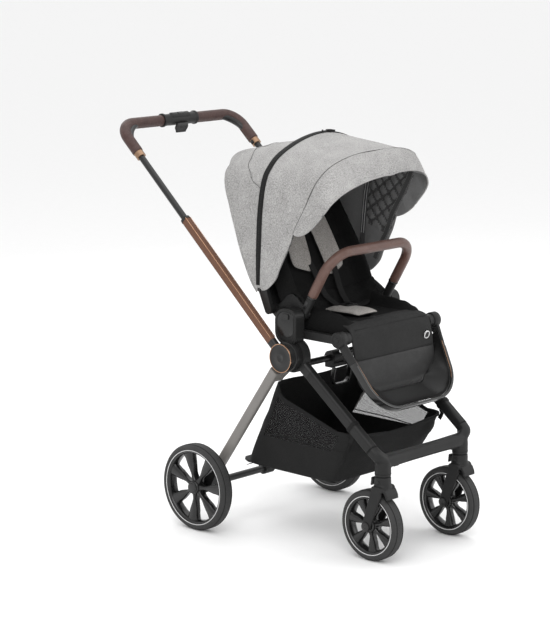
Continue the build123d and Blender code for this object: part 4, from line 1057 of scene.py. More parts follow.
@dataclass
class Wheel:
    """One spoked wheel with its tyre, sizes in millimetres."""

    label: str
    radius: float
    half_width: float = 20.5
    tyre_depth: float = 17.5
    barrel_half: float = 16.5
    hub_radius: float = 18.5
    spokes: int = 7
    turn: float = 8.0

    def build(self) -> None:
        """Make the tyre, the rim and the two thin rings."""
        body = f"{self.label}_wheel"
        centre = joint_point(f"{self.label}_wheel_spin")
        r, w = self.radius, self.half_width
        tread = [(-w, r - 12), (-w + 0.6, r - 8.2), (-w + 3.4, r - 4.4), (-w + 8, r - 1.7), (-6, r - 0.4),
                 (0, r - 0.1), (6, r - 0.4), (w - 8, r - 1.7), (w - 3.4, r - 4.4), (w - 0.6, r - 8.2), (w, r - 12)]
        bead = [(w - 0.9, r - 15.2), (w - 3.2, r - 17.4), (0, r - 17.4), (3.2 - w, r - 17.4), (0.9 - w, r - 15.2)]
        publish(Shape().lathe(tread + bead, centre, segments=96), f"{body}_tyre", TYRE, body, (f"{self.label}_tyre",))
        grooves = Shape()
        for x in (-11.5, 11.5):
            grooves.lathe([(x - 0.9, r - 3.2), (x - 0.9, r - 0.72), (x + 0.9, r - 0.72), (x + 0.9, r - 3.2)], centre,
                          segments=96)
        publish(grooves, f"{body}_tread_lines", RUBBER_DARK, body)
        self.build_rim(body, centre)
        ring = [(w - 2.4, r - 17.8), (w - 1.5, r - 17.8), (w - 1.0, r - 17.1), (w - 1.5, r - 16.0),
                (w - 2.6, r - 15.8)]
        publish(Shape().lathe_pair(ring, centre, 96), f"{body}_white_rings", WHITE, body)

    def build_rim(self, body: str, centre: Vector) -> None:
        """Make the barrel, the oar-shaped spokes and the hub.

        Args:
            body: body the rim rides on.
            centre: the wheel's centre.
        """
        outer = self.radius - self.tyre_depth - 0.1
        b = self.barrel_half
        rim = Shape()
        rim.lathe([(-b, outer), (-b - 1.2, outer - 1.4), (-b - 0.6, outer - 4.2), (-b + 3, outer - 7),
                   (-5, outer - 9.5), (5, outer - 9.5), (b - 3, outer - 7), (b + 0.6, outer - 4.2),
                   (b + 1.2, outer - 1.4), (b, outer)], centre, segments=96)
        inner, reach = self.hub_radius - 5, outer - 6
        for k in range(self.spokes):
            angle = radians(self.turn + 360 * k / self.spokes)
            radial = Vector((0, cos(angle), sin(angle)))

            def section(share: float) -> Loop:
                """Oar shape: narrow neck, broad blade, flared foot."""
                half = table(share, (0, 9.5), (0.22, 5.6), (0.72, 0.118 * self.radius), (0.88, 0.135 * self.radius),
                             (1.0, 0.19 * self.radius))
                depth = table(share, (0, 14.5), (0.3, 11.0), (1.0, 13.0))
                return oval(depth, half, 2.8, 20)

            path = [centre + radial * (inner + (reach - inner) * i / 12) for i in range(13)]
            rim.sweep(path, section)
        h = 19.4
        rim.lathe([(-h, 14.2), (-h, 16.4), (-h + 1.6, 18.2), (-12, 19.5), (0, 20.5), (12, 19.5), (h - 1.6, 18.2),
                   (h, 16.4), (h, 14.2), (h - 2, 13.2), (2 - h, 13.2)], centre, segments=64)
        publish(rim, f"{body}_rim", GLOSS, body, (f"{self.label}_rim",), sharp=50)


@dataclass
class Caster:
    """One front fork over its swivel, sizes in millimetres."""

    hand: str
    arm_in: float = 21.7
    arm_out: float = 28.6
    neck_radius: float = 21.5
    neck_top: float = 231.6

    def build(self) -> None:
        """Make the cast fork, the neck nubs and the axle caps that replace the axle; the lock keeps its packed shape
        in plastic.
        """
        body = f"{self.hand}_caster"
        x = joint_point(f"{self.hand}_swivel").x
        axle = joint_point(f"front_{self.hand}_wheel_spin")
        fork = Shape()
        arm = hull((1.0, 187.0), 17.6, (axle.y, axle.z), 13.6)
        for low in (-self.arm_out, self.arm_in):
            fork.slab(arm, x + low, x + low + self.arm_out - self.arm_in, bevel=2.2)
        crown = outline(((-21, 193.8), (-19, 204.5), (-10, 208.5), (12, 208), (18.5, 203), (19, 193.8)), 3.5)
        fork.slab(crown, x - self.arm_out + 0.4, x + self.arm_out - 0.4, bevel=3)
        lip = outline(((-13, 206), (-26, 200), (-33.5, 186), (-35, 176), (-31.6, 175), (-27, 184), (-21, 193.8),
                       (-12, 194.5)), 1.6, 1.6)
        fork.slab(lip, x - 23, x + 23, bevel=1.2)
        neck = [(198, 0.01), (198, 24.5), (207, 23.5), (213, 22.0), (226, self.neck_radius),
                (self.neck_top - 1, self.neck_radius), (self.neck_top, self.neck_radius - 1), (self.neck_top, 0.01)]
        fork.lathe(neck, Vector((x, 0, 0)), Z_AXIS, closed=False)
        cast = cast_object(f"{body}_fork", fork, 1.5, 4)
        publish(cast, f"{body}_fork", FRAME_DARK, body, (f"{self.hand}_caster_fork",), sharp=180)
        nub = [(19.5, 0.01), (23.6, 0.01), (23.6, 3.2), (22.8, 4.2), (19.5, 4.2)]
        publish(Shape().lathe_pair(nub, Vector((x, -2, 219)), 24), f"{body}_neck_nubs", PLASTIC, body)
        cap = [(28.2, 0.01), (31.4, 0.01), (31.2, 3.6), (32.0, 4.4), (32.0, 10.5), (31.0, 12.6), (28.4, 13.3)]
        publish(Shape().lathe_pair(cap, Vector((x, axle.y, axle.z)), 48), f"{body}_axle_caps", GLOSS, body,
                (f"{self.hand}_front_axle",), sharp=35)
        dress(PLASTIC, f"{self.hand}_swivel_lock")


@dataclass
class FrontFrame:
    """Front legs, the cast corner and crossbar, hubs and cross tube."""

    leg_neck: float = 21.7
    turn: float = 20.0
    bar_z: float = 270.0
    column_x: float = 160.0
    column_radius: float = 21.5
    column_bottom: float = 232.1

    @property
    def leg_end(self) -> float:
        """Distance from the hub at which the leg's line crosses the swivel axes."""
        return HUB.y / -cos(radians(LEG_ANGLE))

    def build(self) -> None:
        """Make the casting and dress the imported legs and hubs."""
        dress(FRAME_DARK, "front_legs")
        dress(HUB_BLACK, "fold_hubs", bevel=1.5)
        dress(TUBE_BLACK, "cross_tube")
        dress(PLASTIC, "fold_latch", bevel=1.5)
        dress(STEEL, "hub_bolts")
        self.build_casting()
        self.build_covers()
        self.build_latch_details()

    def build_casting(self) -> None:
        """Make the crossbar, corners and swivel columns as one casting, with its joint lines."""
        square, end = heading(LEG_ANGLE + 90), self.leg_end
        casting, trims, slots = Shape(), Shape(), Shape()
        for side in (-1, 1):
            leg, column = side * LEG_X, Vector((side * self.column_x, 0, 0))
            neck = rounded([inclined(HUB, LEG_ANGLE, end - self.leg_neck, 0, leg),
                            inclined(HUB, LEG_ANGLE, end - 1, 0, side * 183), Vector((side * 161, -2, 272))],
                           self.turn, 4)
            casting.sweep(neck, lambda share: oval(table(share, (0, 13.4), (1, 17)), table(share, (0, 16.4), (1, 15)),
                                                   3.0, 40), square)
            web = rounded([inclined(HUB, LEG_ANGLE, end - 12, 4, side * 180), Vector((side * 172, 4, self.bar_z + 8)),
                           Vector((side * 78, 0, self.bar_z))], 56, 5)
            casting.sweep(web, lambda share: oval(table(share, (0, 12), (1, 15)), table(share, (0, 11), (1, 14)), 2.4,
                                                  32), Y_AXIS)
            profile = [(self.column_bottom, 0.01), (self.column_bottom, self.column_radius - 0.8),
                       (self.column_bottom + 1, self.column_radius), (259, self.column_radius), (269, 21.0),
                       (278, 18.5), (284, 13), (287, 6), (287.5, 0.01)]
            casting.lathe(profile, column, Z_AXIS, 48, closed=False)
            ring, along = inclined(HUB, LEG_ANGLE, end - self.leg_neck + 1, 0, leg), heading(LEG_ANGLE)
            trims.sweep([ring - along * 1.1, ring + along * 1.1], steady(13.6, 16.6, 3.3, 40), square)
            trims.lathe([(239.2, 21.0), (239.2, 21.9), (240.4, 21.9), (240.4, 21.0)], column, Z_AXIS, 48)
            slots.sweep([Vector((side * 118 + d, -9.5, self.bar_z - 15.6)) for d in (-9, -8, 8, 9)],
                        drawn_in((2.6, 1.6), (1.6, 1.6), 2.5, 16), square)
        bar = [Vector((x, 0, self.bar_z)) for x in range(-160, 161, 10)]
        casting.sweep(bar, lambda share: oval(table(abs(2 * share - 1), (0.3, 17.6), (1, 19.5)),
                                              table(abs(2 * share - 1), (0.3, 16.6), (1, 18)), 2.7, 40), Y_AXIS)
        cast = cast_object("front_casting", casting, 1.8, 11)
        publish(cast, "front_casting", FRAME_DARK, "chassis", ("front_crossmember",), sharp=180)
        parting = [Vector((x, -15.4, self.bar_z - 9.6)) for x in range(-132, 133, 12)]
        trims.tube(parting, 0.9, Z_AXIS, 8)
        publish(trims, "front_joint_lines", RUBBER_DARK, "chassis")
        publish(slots, "front_casting_slots", RUBBER_DARK, "chassis")

    def build_covers(self) -> None:
        """Make the hub discs with their copper rings."""
        disc = [(240.0, 0.01), (240.0, 38.2), (241.6, 38.4), (242.4, 37.4), (241.4, 35.4), (241.5, 12.2),
                (242.6, 11.2), (242.4, 6.5), (241.6, 5.5), (241.6, 0.01)]
        publish(Shape().lathe_pair(disc, HUB, 96, False), "hub_discs", HUB_BLACK, "chassis", ("hub_covers",),
                sharp=50)
        ring = [(241.0, 36.6), (243.2, 36.9), (243.5, 37.6), (243.2, 38.4), (241.0, 38.6)]
        publish(Shape().lathe_pair(ring, HUB, 96), "hub_copper_rings", COPPER_BRIGHT, "chassis")

    def build_latch_details(self) -> None:
        """Make the pull loop under the latch housing."""
        corners = [Vector((-31, 284, 457)), Vector((-34, 291, 408)), Vector((34, 291, 408)), Vector((31, 284, 457))]
        loop = Shape().sweep(rounded(corners, 15, 3), steady(7.5, 2.0, 3, 20), Y_AXIS)
        publish(loop, "fold_strap", GLOSS, "chassis")


@dataclass
class RearFrame:
    """Rear legs, axle, wheel housings and brake pedal."""

    def build(self) -> None:
        """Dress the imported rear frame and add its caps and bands."""
        dress(TAUPE, "rear_legs")
        dress(AXLE, "rear_axle")
        dress(PLASTIC, "wheel_housings", bevel=2.0)
        dress(PLASTIC, "brake_pedal", bevel=1.0)
        grip = Shape()
        for k in range(5):
            middle = Vector((0, 582 + 8.2 * k, 139.6 + 8.2 * k * -0.466)) + heading(65) * 0.4
            grip.sweep([middle + X_AXIS * d for d in (-29, -28, 28, 29)], steady(1.5, 1.0, 2.2, 10), heading(-25))
        publish(grip, "brake_pedal_ribs", RUBBER_DARK, "brake")
        cap = [(294.6, 0.01), (299.0, 0.01), (299.0, 9.0), (298.2, 12.5), (296.4, 13.6), (294.6, 13.6)]
        publish(Shape().lathe_pair(cap, Vector((0, 565, 120)), 48, False), "rear_axle_caps", GLOSS, "rear_frame",
                sharp=40)
        shroud = [(198.4, 33.0), (198.4, 39.0), (199.4, 40.0), (221.0, 40.0), (221.8, 39.0), (221.8, 33.0)]
        publish(Shape().lathe_pair(shroud, HUB, 72), "rear_leg_shrouds", HUB_BLACK, "rear_frame", sharp=50)


# ---- handle -----------------------------------------------------------------


@dataclass
class Handle:
    """Sleeves, telescopic handlebar, grips, collars and console."""

    reach: float = 845.3
    corner: float = 94.0
    grip_start: float = 739.2
    grip_radius: float = 15.4
    seam_radius: float = 15.35
    stitch_radius: float = 15.6
    console_half: float = 66.0
    console_tilt: float = 118.0
    sleeve_start: float = 62.0
    sleeve_end: float = 489.0

    def build(self) -> None:
        """Make the handle's pieces."""
        square = heading(POLE_ANGLE + 90)
        dress(COPPER, "pole_sleeves")
        dress(HUB_BLACK, "pole_knuckles", bevel=1.5)
        dress(TUBE_BLACK, "handlebar_tube")
        dress(GOLD_COLLAR, "grip_collars", bevel=0.6)
        dress(GLOSS, "left_height_button", "right_height_button")
        self.build_sleeve_trim(square)
        self.build_grips(square)
        self.build_console()

    def build_sleeve_trim(self, square: Vector) -> None:
        """Make the bright copper beads that paint the highlight along the sleeves' edges, and the bushings of the
        sleeves.

        Args:
            square: direction square to the poles.
        """
        highlight_beads, bushings, windows = Shape(), Shape(), Shape()
        along = heading(POLE_ANGLE)
        for side in (-1, 1):
            # Thin bright copper tubes along both edges of each sleeve: a painted highlight on the sleeve's rounded
            # edges.
            for edge in (-1, 1):
                ends = [inclined(HUB, POLE_ANGLE, s, 11.0, side * POLE_X + edge * 8.9)
                        for s in (self.sleeve_start, self.sleeve_end)]
                highlight_beads.tube(respaced(ends, 60), 0.9, square, 8)
            top = [inclined(HUB, POLE_ANGLE, s, 0, side * POLE_X) for s in (486.5, 487.5, 493.5, 495.2)]
            bushings.sweep(top, lambda share: oval(13.4 - 1.6 * share * share, 10.9 - 1.2 * share * share, 3.4, 40),
                           square)
            window = [inclined(HUB, POLE_ANGLE, s, 0, side * (POLE_X - 13.3)) for s in (724.5, 725.5, 735.5, 736.5)]
            windows.sweep(window, steady(5.2, 0.9, 3, 20), square)
        publish(highlight_beads, "sleeve_edge_highlights", COPPER_BRIGHT, "handle_poles")
        publish(bushings, "sleeve_bushings", PLASTIC, "handle_poles", sharp=50)
        publish(windows, "collar_windows", PLASTIC, "handlebar")

    def grip_line(self, side: int) -> list[Vector]:
        """Centre line of one grip, from the collar round to the console."""
        corners = [inclined(HUB, POLE_ANGLE, s, 0, side * x) for s, x in
                   ((self.grip_start, POLE_X), (self.reach, POLE_X), (self.reach, self.console_half - 2))]
        return rounded(corners, self.corner, 4.0)

    def build_grips(self, square: Vector) -> None:
        """Make the leather covers, their seams and stitches.

        Args:
            square: direction square to the poles.
        """
        leather, seams, threads, dots = Shape(), Shape(), Shape(), Shape()
        for side in (-1, 1):
            line = self.grip_line(side)

            def section(share: float) -> Loop:
                """Round cover, drawn in at both ends."""
                end = min(share, 1 - share)
                r = self.grip_radius * table(end, (0, 0.93), (0.012, 1.0))
                return oval(r, r, 2.0, 48)

            def beside(radius: float, turn: float) -> list[Vector]:
                """Line along the cover, at a radius and a turn in degrees round it."""
                a = radians(turn)
                return offset_line(line, radius * cos(a), side * radius * sin(a), square)

            leather.sweep(line, section, square)
            for turn in (205, 245):
                seams.tube(beside(self.seam_radius, turn), 0.55, square, 6)
            for turn in (199, 211, 239, 251):
                threads.stitches(beside(self.stitch_radius, turn), 4.2, 2.9, 0.5, square)
            for turn in (217, 225, 233):
                for point in respaced(beside(self.seam_radius, turn), 5.0)[1:-1]:
                    dots.lathe([(-0.6, 0.01), (-0.6, 0.9), (0.6, 0.9), (0.6, 0.01)], point, square, 6, closed=False)
        publish(leather, "grip_covers", GRIP_LEATHER, "handlebar", ("handle_grips",), sharp=180)
        publish(seams, "grip_seams", LEATHER_DARK, "handlebar")
        publish(threads, "grip_stitches", THREAD, "handlebar")
        publish(dots, "grip_perforations", LEATHER_DARK, "handlebar")

    def build_console(self) -> None:
        """Make the fold control between the grips."""
        centre, up = inclined(HUB, POLE_ANGLE, self.reach, 0), heading(self.console_tilt)
        half = self.console_half
        body = Shape()
        profile = [(-half, 9.3), (-half, 18.4), (-half + 1.4, 19.6), (-half + 5.2, 19.6), (-half + 7.2, 17.4),
                   (-46, 16.6), (-34, 16.9), (34, 16.9), (46, 16.6), (half - 7.2, 17.4), (half - 5.2, 19.6),
                   (half - 1.4, 19.6), (half, 18.4), (half, 9.3)]
        body.lathe(profile, centre, segments=64)
        body.sweep([centre + X_AXIS * x + up * 9.4 for x in (-37, -33, -26, 26, 33, 37)],
                   lambda share: oval(table(share, (0, 8), (0.2, 11.5), (0.8, 11.5), (1, 8)),
                                      table(share, (0, 7), (0.2, 11), (0.8, 11), (1, 7)), 2.6, 24), up)
        publish(body, "console_body", PLASTIC, "handlebar", ("console",), sharp=38)
        button = [centre + X_AXIS * x + up * 20.6 for x in (-10, -8.5, 8.5, 10)]
        publish(Shape().sweep(button, drawn_in((1.5, 5.4), (1.5, 3.6), 2.6, 20), up), "console_button", GLOSS,
                "handlebar")
        tip = centre + Vector((0, -0.5, 0))
        plate = spline([tip + heading(angle) * r for angle, r in
                        ((205, 20.5), (222, 21.5), (240, 26.5), (250, 33), (255, 38))], 3)
        lever = Shape().sweep(plate, lambda share: oval(table(share, (0, 22), (0.5, 25.5), (1, 19)), 2.4, 5, 28))
        publish(lever, "fold_lever", GLOSS, "trigger", ("fold_trigger",), sharp=50)


# ---- seat unit --------------------------------------------------------------


@dataclass
class SeatUnit:
    """Side housings, cushion, nose and calf pad, belt pad and harness."""

    cushion_front: float = 129.0
    cushion_back: float = 311.0
    cushion_base: float = 565.6
    cushion_half: float = 154.0
    calf_half: float = 160.0
    calf_end_radius: float = 88.0
    calf_thickness: float = 14.0
    seam_z: float = 521.0

    def build(self) -> None:
        """Make the seat's pieces."""
        self.build_housings()
        dress(FRAME_DARK, "seat_frame", bevel=1.0)
        self.build_cushion()
        self.build_calf()
        self.build_belt_pad()

    def build_housings(self) -> None:
        """Make the capsule housings with a raised rim and a recess."""
        loop = outline(((259.4, 544.4), (334.6, 544.4), (334.6, 640.6), (259.4, 640.6)), 34, 3)
        inset = outline(((264.5, 549.5), (329.5, 549.5), (329.5, 635.5), (264.5, 635.5)), 29.5, 3)
        plate = outline(((269, 566), (325, 566), (325, 631), (269, 631)), 25, 3)
        shells, rims, plates = Shape(), Shape(), Shape()
        for side in (-1, 1):
            low, high = sorted((side * 179, side * 211.5))
            shells.slab(loop, low, high, bevel=5, steps=4)
            rims.sweep([Vector((side * 211.6, a, b)) for a, b in inset], steady(1.5, 2.6, 2.2, 12), closed=True)
            low, high = sorted((side * 206, side * 212.2))
            plates.slab(plate, low, high, bevel=1.4)
        publish(shells, "seat_housing_shells", PLASTIC, "seat", ("seat_housings",), sharp=60)
        publish(rims, "seat_housing_rims", FRAME_DARK, "seat")
        publish(plates, "seat_housing_recesses", GLOSS, "seat", sharp=60)
        dress(HUB_BLACK, "left_seat_release", "right_seat_release", bevel=0.8)

    def top_height(self, x: float, y: float) -> float:
        """Height of the cushion's top surface.

        Args:
            x: place across.
            y: place along.

        Returns:
            The height.
        """
        side = abs(x) / self.cushion_half
        bolster = blend_value(0, 1, (side - 0.70) / 0.16)
        bolster *= table(y, (130, 0), (150, 8), (180, 21), (240, 25), (300, 36))
        dip = -3.5 * (1 - min(side / 0.7, 1) ** 2) * table(y, (140, 0), (230, 1), (311, 0.6))
        channel = -2.6 * exp(-((side - 0.70) / 0.035) ** 2)
        for line in (176.0, 232.0):
            channel -= 2.4 * exp(-((y - line) / 3.5) ** 2) * (1 - blend_value(0, 1, (side - 0.6) / 0.1))
        puff = 1.6 * sin(pi * min(max((y - 130) / 46, 0), 1))
        return 611.5 + bolster + dip + channel + puff

    def build_cushion(self) -> None:
        """Make the black cushion with side bolsters and sewn channels."""
        shape = stuffed((self.cushion_front, self.cushion_back), self.cushion_half, 5, (46, 60), (0.45, 0.18),
                        self.top_height, 590, (self.cushion_base, 14), lambda x, y, z: Vector((x, y, z)))
        shape.ripple(1.4, 26, 3.0)
        publish(shape, "seat_liner_cushion", LINER, "seat", ("seat_cushion",), levels=1)

    def build_calf(self) -> None:
        """Make the seat's nose and the calf pad as one bent pad."""
        front = spline([Vector((0, y, z)) for y, z in
                        ((176, 612), (150, 612.5), (124, 607), (109, 594), (104.5, 580), (96.5, 545), (90.5, 508),
                         (86.8, 470), (87.2, 440), (93, 416.5))], 4)
        total = sum((b - a).length for a, b in zip(front, front[1:]))

        def section(share: float) -> Loop:
            """Wide, flat section with round sides; round corners at the lower end.

            Args:
                share: place along the pad.

            Returns:
                The section.
            """
            left = (1 - share) * total
            half = table(share * total, (0, 138), (30, 150), (80, self.calf_half))
            if left < self.calf_end_radius:
                r = self.calf_end_radius
                half -= r - sqrt(max(r * r - (r - left) ** 2, 0))
            thick = self.calf_thickness / 2
            thick *= table(share * total, (0, 0.35), (26, 0.9), (60, 1.0))
            thick *= table(left, (0, 0.35), (5, 0.8), (14, 1.0))
            return [(half * signed(c, 0.34), thick * signed(s, 0.55) * (1.0 + 0.22 * (1 - c * c)))
                    for c, s in turns(72)]

        middle = offset_line(front, 0, -self.calf_thickness / 2)
        shape = Shape().sweep(middle, section)
        for face in shape.bm.faces:
            z = face.calc_center_median().z
            face.material_index = 1 if z < self.seam_z else 0
        for vert in shape.bm.verts:
            near = exp(-((vert.co.z - self.seam_z) / 2.6) ** 2) + exp(-((vert.co.z - 598) / 2.2) ** 2)
            vert.co.y += 1.6 * near
        shape.ripple(1.3, 34, 7.0)
        pad = publish(shape, "seat_nose_and_calf_pad", (CALF_WOVEN, CALF_SMOOTH), None, ("calf_pad",), levels=1)
        start, end = place(Vector((0, 118, 602))), place(Vector((0, 100, 556)))
        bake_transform(pad)
        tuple(start)
        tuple(end)
        trim = Shape()
        seam = [Vector((x, 91.1, self.seam_z)) for x in range(-156, 157, 6)]
        trim.tube(seam, 0.9, Vector((0, 0, 1)), 8)
        publish(trim, "calf_seam", WEBBING, "footrest")
        nose = Shape().tube([Vector((x, 112.4, 598)) for x in range(-144, 145, 6)], 1.0, Z_AXIS, 8)
        publish(nose, "seat_nose_seam", WEBBING, "seat")
        centre, out = Vector((127, 94.6, 550)), heading(192)
        ring = [(0.0, 7.4), (2.2, 7.8), (3.0, 8.8), (3.0, 10.2), (2.2, 11.4), (0.0, 11.8)]
        publish(Shape().lathe(ring, centre, out, 48), "calf_round_badge", BADGE, "footrest")
        face = Shape().lathe([(0.2, 0.01), (1.6, 0.01), (1.6, 7.7), (0.2, 7.7)], centre, out, 48, closed=False)
        publish(face, "calf_badge_face", PLASTIC, "footrest")

    def pad_z(self, v: float) -> float:
        """Height of the belt pad's middle at a share of its length, from -1 at the front."""
        return 619 + table(v, (-1, 1), (-0.55, 3), (0.5, 2), (1, 0))

    def build_belt_pad(self) -> None:
        """Make the grey belt pad, the buckle and the crotch strap."""
        pad = Shape()
        rows = []
        steps = 22
        for i in range(steps + 1):
            v = -1 + 2 * i / steps
            y = 236 + 64 * v
            lift = (1 - abs(v) ** 5) ** 0.5
            ring = []
            for c, s in turns(48):
                x = (40 - 3 * abs(v) ** 6) * signed(c, 0.4)
                z = 6.6 * signed(s, 0.8) * max(lift, 0.12)
                ring.append(Vector((x - 20, y, self.pad_z(v) + z - 0.0014 * x * x)))
            rows.append(ring)
        pad.grid(rows, around=True, caps=True)
        pad.ripple(0.8, 20, 5.0)
        publish(pad, "belt_pad", PAD_CLOTH, "seat", ("crotch_pad",), levels=1)
        rim = [(40.4 * signed(c, 0.4), signed(s, 0.4)) for c, s in turns(60)]
        line = [Vector((x - 20, 236 + 64.4 * v, self.pad_z(v) - 2 - 0.0014 * x * x)) for x, v in rim]
        publish(Shape().tube(line, 1.6, Z_AXIS, 8, closed=True), "belt_pad_piping", WEBBING, "seat")
        line = spline([Vector((0, y, z)) for y, z in ((262, 616), (230, 613), (190, 611), (160, 611), (146, 608))], 4)
        publish(Shape().sweep(line, steady(12.5, 0.9, 5, 16)), "crotch_strap", WEBBING, "seat")
        buckle = Shape().slab(outline(((-24, 243), (24, 243), (19, 281), (-19, 281)), 8, 2.5), 615.5, 629.5,
                              bevel=3.5, ex=X_AXIS, ey=Y_AXIS)
        publish(buckle, "buckle_body", PLASTIC, "seat", ("harness_buckle",), sharp=60)
        press = Shape().slab(outline(((-9, 251), (9, 251), (8, 268), (-8, 268)), 4, 2), 628.6, 631.2, bevel=0.9,
                             ex=X_AXIS, ey=Y_AXIS)
        publish(press, "buckle_button", GLOSS, "seat", sharp=60)


@dataclass
class Backrest:
    """Back pad with bolsters, shoulder pads, harness straps and frame."""

    start: float = -55.0
    end: float = 277.0
    half: float = 171.0
    back: float = 9.5

    def build(self) -> None:
        """Make the backrest's pieces."""
        dress(TUBE_BLACK, "back_frame")
        dress(PLASTIC, "recline_lever", bevel=1.0)
        self.build_pad()
        self.build_shoulder_pads()
        self.build_straps()
        self.build_joining(SeatUnit())

    def front(self, x: float, s: float) -> float:
        """Distance of the pad's front from the back line.

        Args:
            x: place across.
            s: place up the back.

        Returns:
            The distance.
        """
        side = abs(x) / self.half
        height = table(s, (-55, 62), (-36, 74), (14, 75), (70, 71), (147, 61), (201, 52), (277, 44))
        lift = blend_value(0, 1, (side - 0.74) / 0.15)
        middle = 41.0 + 2.2 * cos(pi * side) - 2.5 * exp(-((side - 0.73) / 0.03) ** 2)
        for line in (20.0, 105.0, 190.0):
            middle -= 2.6 * exp(-((s - line) / 4) ** 2) * (1 - lift)
        return middle + (height - middle) * lift

    def build_pad(self) -> None:
        """Make the black back pad."""
        shape = stuffed((self.start, self.end), self.half, 6, (66, 64), (0.42, 0.17), self.front, 26, (self.back, 12),
                        lambda x, s, n: inclined(CANOPY, BACK_ANGLE, s, n, x))
        shape.ripple(1.4, 40, 11.0)
        publish(shape, "back_liner_pad", LINER, "backrest", ("back_pad",), levels=1)

    def build_joining(self, seat: SeatUnit) -> None:
        """Make the folded liner cloth between the seat cushion and the back pad.

        Args:
            seat: the seat unit whose cushion it starts from.
        """
        rows = []
        for i in range(15):
            share = i / 14
            row = []
            for k in range(57):
                x = (seat.cushion_half - 4 + 14 * share) * (1 - 2 * k / 56)
                low = Vector((x, 288, seat.top_height(x, 288) - 7))
                high = inclined(CANOPY, BACK_ANGLE, -36, self.front(x, -36) - 9, x)
                point = low.lerp(high, share)
                fold = 5.5 * sin(pi * share) + 2.4 * sin(3 * pi * share) ** 2
                row.append(point + heading(140) * fold + Vector((0, 0, -3.0 * sin(pi * share))))
            rows.append(row)
        shape = Shape().grid(rows)
        shape.ripple(5.0, 24, 13.0)
        shape.ripple(1.6, 9, 4.0)
        cloth = publish(shape, "seat_to_back_liner", LINER, None, levels=1, thick=7)
        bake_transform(cloth)
        wings = Shape()
        for side in (-1, 1):
            top = respaced(spline([Vector((side * 163, y, z)) for y, z in
                                   ((262, 636), (296, 660), (318, 672), (344, 655), (360, 636))], 3), 5)
            low = [Vector((side * 158, blend_value(256, 356, k / (len(top) - 1)), 624)) for k in range(len(top))]
            wings.grid([[a.lerp(b, i / 10) + Vector((side * 7 * sin(pi * i / 10), 0, 0))
                         for a, b in zip(low, top)] for i in range(11)])
        wings.ripple(2.0, 22, 17.0)
        cloth = publish(wings, "seat_side_wings", CALF_WOVEN, None, levels=1, thick=7)
        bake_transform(cloth)

    def build_shoulder_pads(self) -> None:
        """Make the two grey shoulder pads with piped edges."""
        pads, rims = Shape(), Shape()
        for side in (-1, 1):
            def spot(u: float, v: float, n: float) -> Vector:
                """Point on a pad, u across and v along, both from -1 to 1."""
                s = 105 + 84 * v + 13 * side * u - 9 * (1 + side)
                lean = side * (67 - 8 * v) - 11 * (1 + side)
                return inclined(CANOPY, BACK_ANGLE, s, n + 47.5 + 3.0 * (1 - v * v), lean + 37 * u)

            rows = []
            for i in range(31):
                v = -1 + 2 * i / 30
                lift = max((1 - abs(v) ** 7) ** 0.5, 0.1)
                width = 1 - 0.22 * abs(v) ** 7
                rows.append([spot(width * signed(c, 0.5), v, 5.8 * signed(s, 0.8) * lift) for c, s in turns(36)])
            pads.grid(rows, around=True, caps=True)
            rim = [spot(1.01 * signed(c, 0.35), 1.01 * signed(s, 0.35), 0) for c, s in turns(72)]
            rims.tube(rim, 1.6, heading(BACK_ANGLE + 90), 8, closed=True)
        pads.ripple(0.8, 22, 2.0)
        publish(pads, "shoulder_pad_covers", PAD_CLOTH, "backrest", ("shoulder_pads",), levels=1)
        publish(rims, "shoulder_pad_piping", WEBBING, "backrest")

    def build_straps(self) -> None:
        """Make the harness straps."""
        upper, lower, waist, strap = Shape(), Shape(), Shape(), steady(11, 0.9, 5, 14)
        for side in (-1, 1):
            line = [inclined(CANOPY, BACK_ANGLE, s, n, side * x) for s, n, x in
                    ((232, 39, 62), (214, 47, 61), (186, 50, 59))]
            upper.sweep(spline(line, 5), steady(12, 0.9, 5, 14))
            line = [inclined(CANOPY, BACK_ANGLE, s, n, side * x) for s, n, x in ((44, 52, 46), (8, 54, 40))]
            line += [Vector((side * x, y, z)) for x, y, z in ((33, 318, 655), (24, 290, 632), (17, 276, 626))]
            lower.sweep(spline(line, 5), strap)
            line = [Vector((side * x, y, z)) for x, y, z in
                    ((20, 270, 622), (62, 276, 617), (96, 286, 618), (116, 298, 622))]
            waist.sweep(spline(line, 5), strap, Vector((0, 1, 0.1)))
        publish(upper, "shoulder_strap_ends", WEBBING, "backrest")
        straps = publish(lower, "shoulder_straps_lower", WEBBING, None)
        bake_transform(straps)
        publish(waist, "waist_straps", WEBBING, "seat")


# ---- canopy -----------------------------------------------------------------


@dataclass(frozen=True)
class Bow:
    """Line of a canopy bow.

    Args:
        stops: (x, radius, angle) from one foot up to the middle.
        slack: degrees by which the left side hangs back.
    """

    stops: tuple[tuple[float, float, float], ...]
    slack: float = 0.0

    def line(self, count: int, inset: float = 0.0) -> list[Vector]:
        """Evenly spaced points from the right foot over the top to the left foot.

        Args:
            count: steps along the line.
            inset: distance inwards.

        Returns:
            The points.
        """
        near = [polar(CANOPY, max(r - inset, 1.0), angle, inset - x) for x, r, angle in self.stops]
        near[-1].x = 0.0
        far = [polar(CANOPY, max(r - inset, 1.0), angle - self.slack * min(x / 180, 1), x - inset)
               for x, r, angle in reversed(self.stops[:-1])]
        fine = spline(near + far, 3)
        length = sum((b - a).length for a, b in zip(fine, fine[1:]))
        return respaced(fine, length / count)


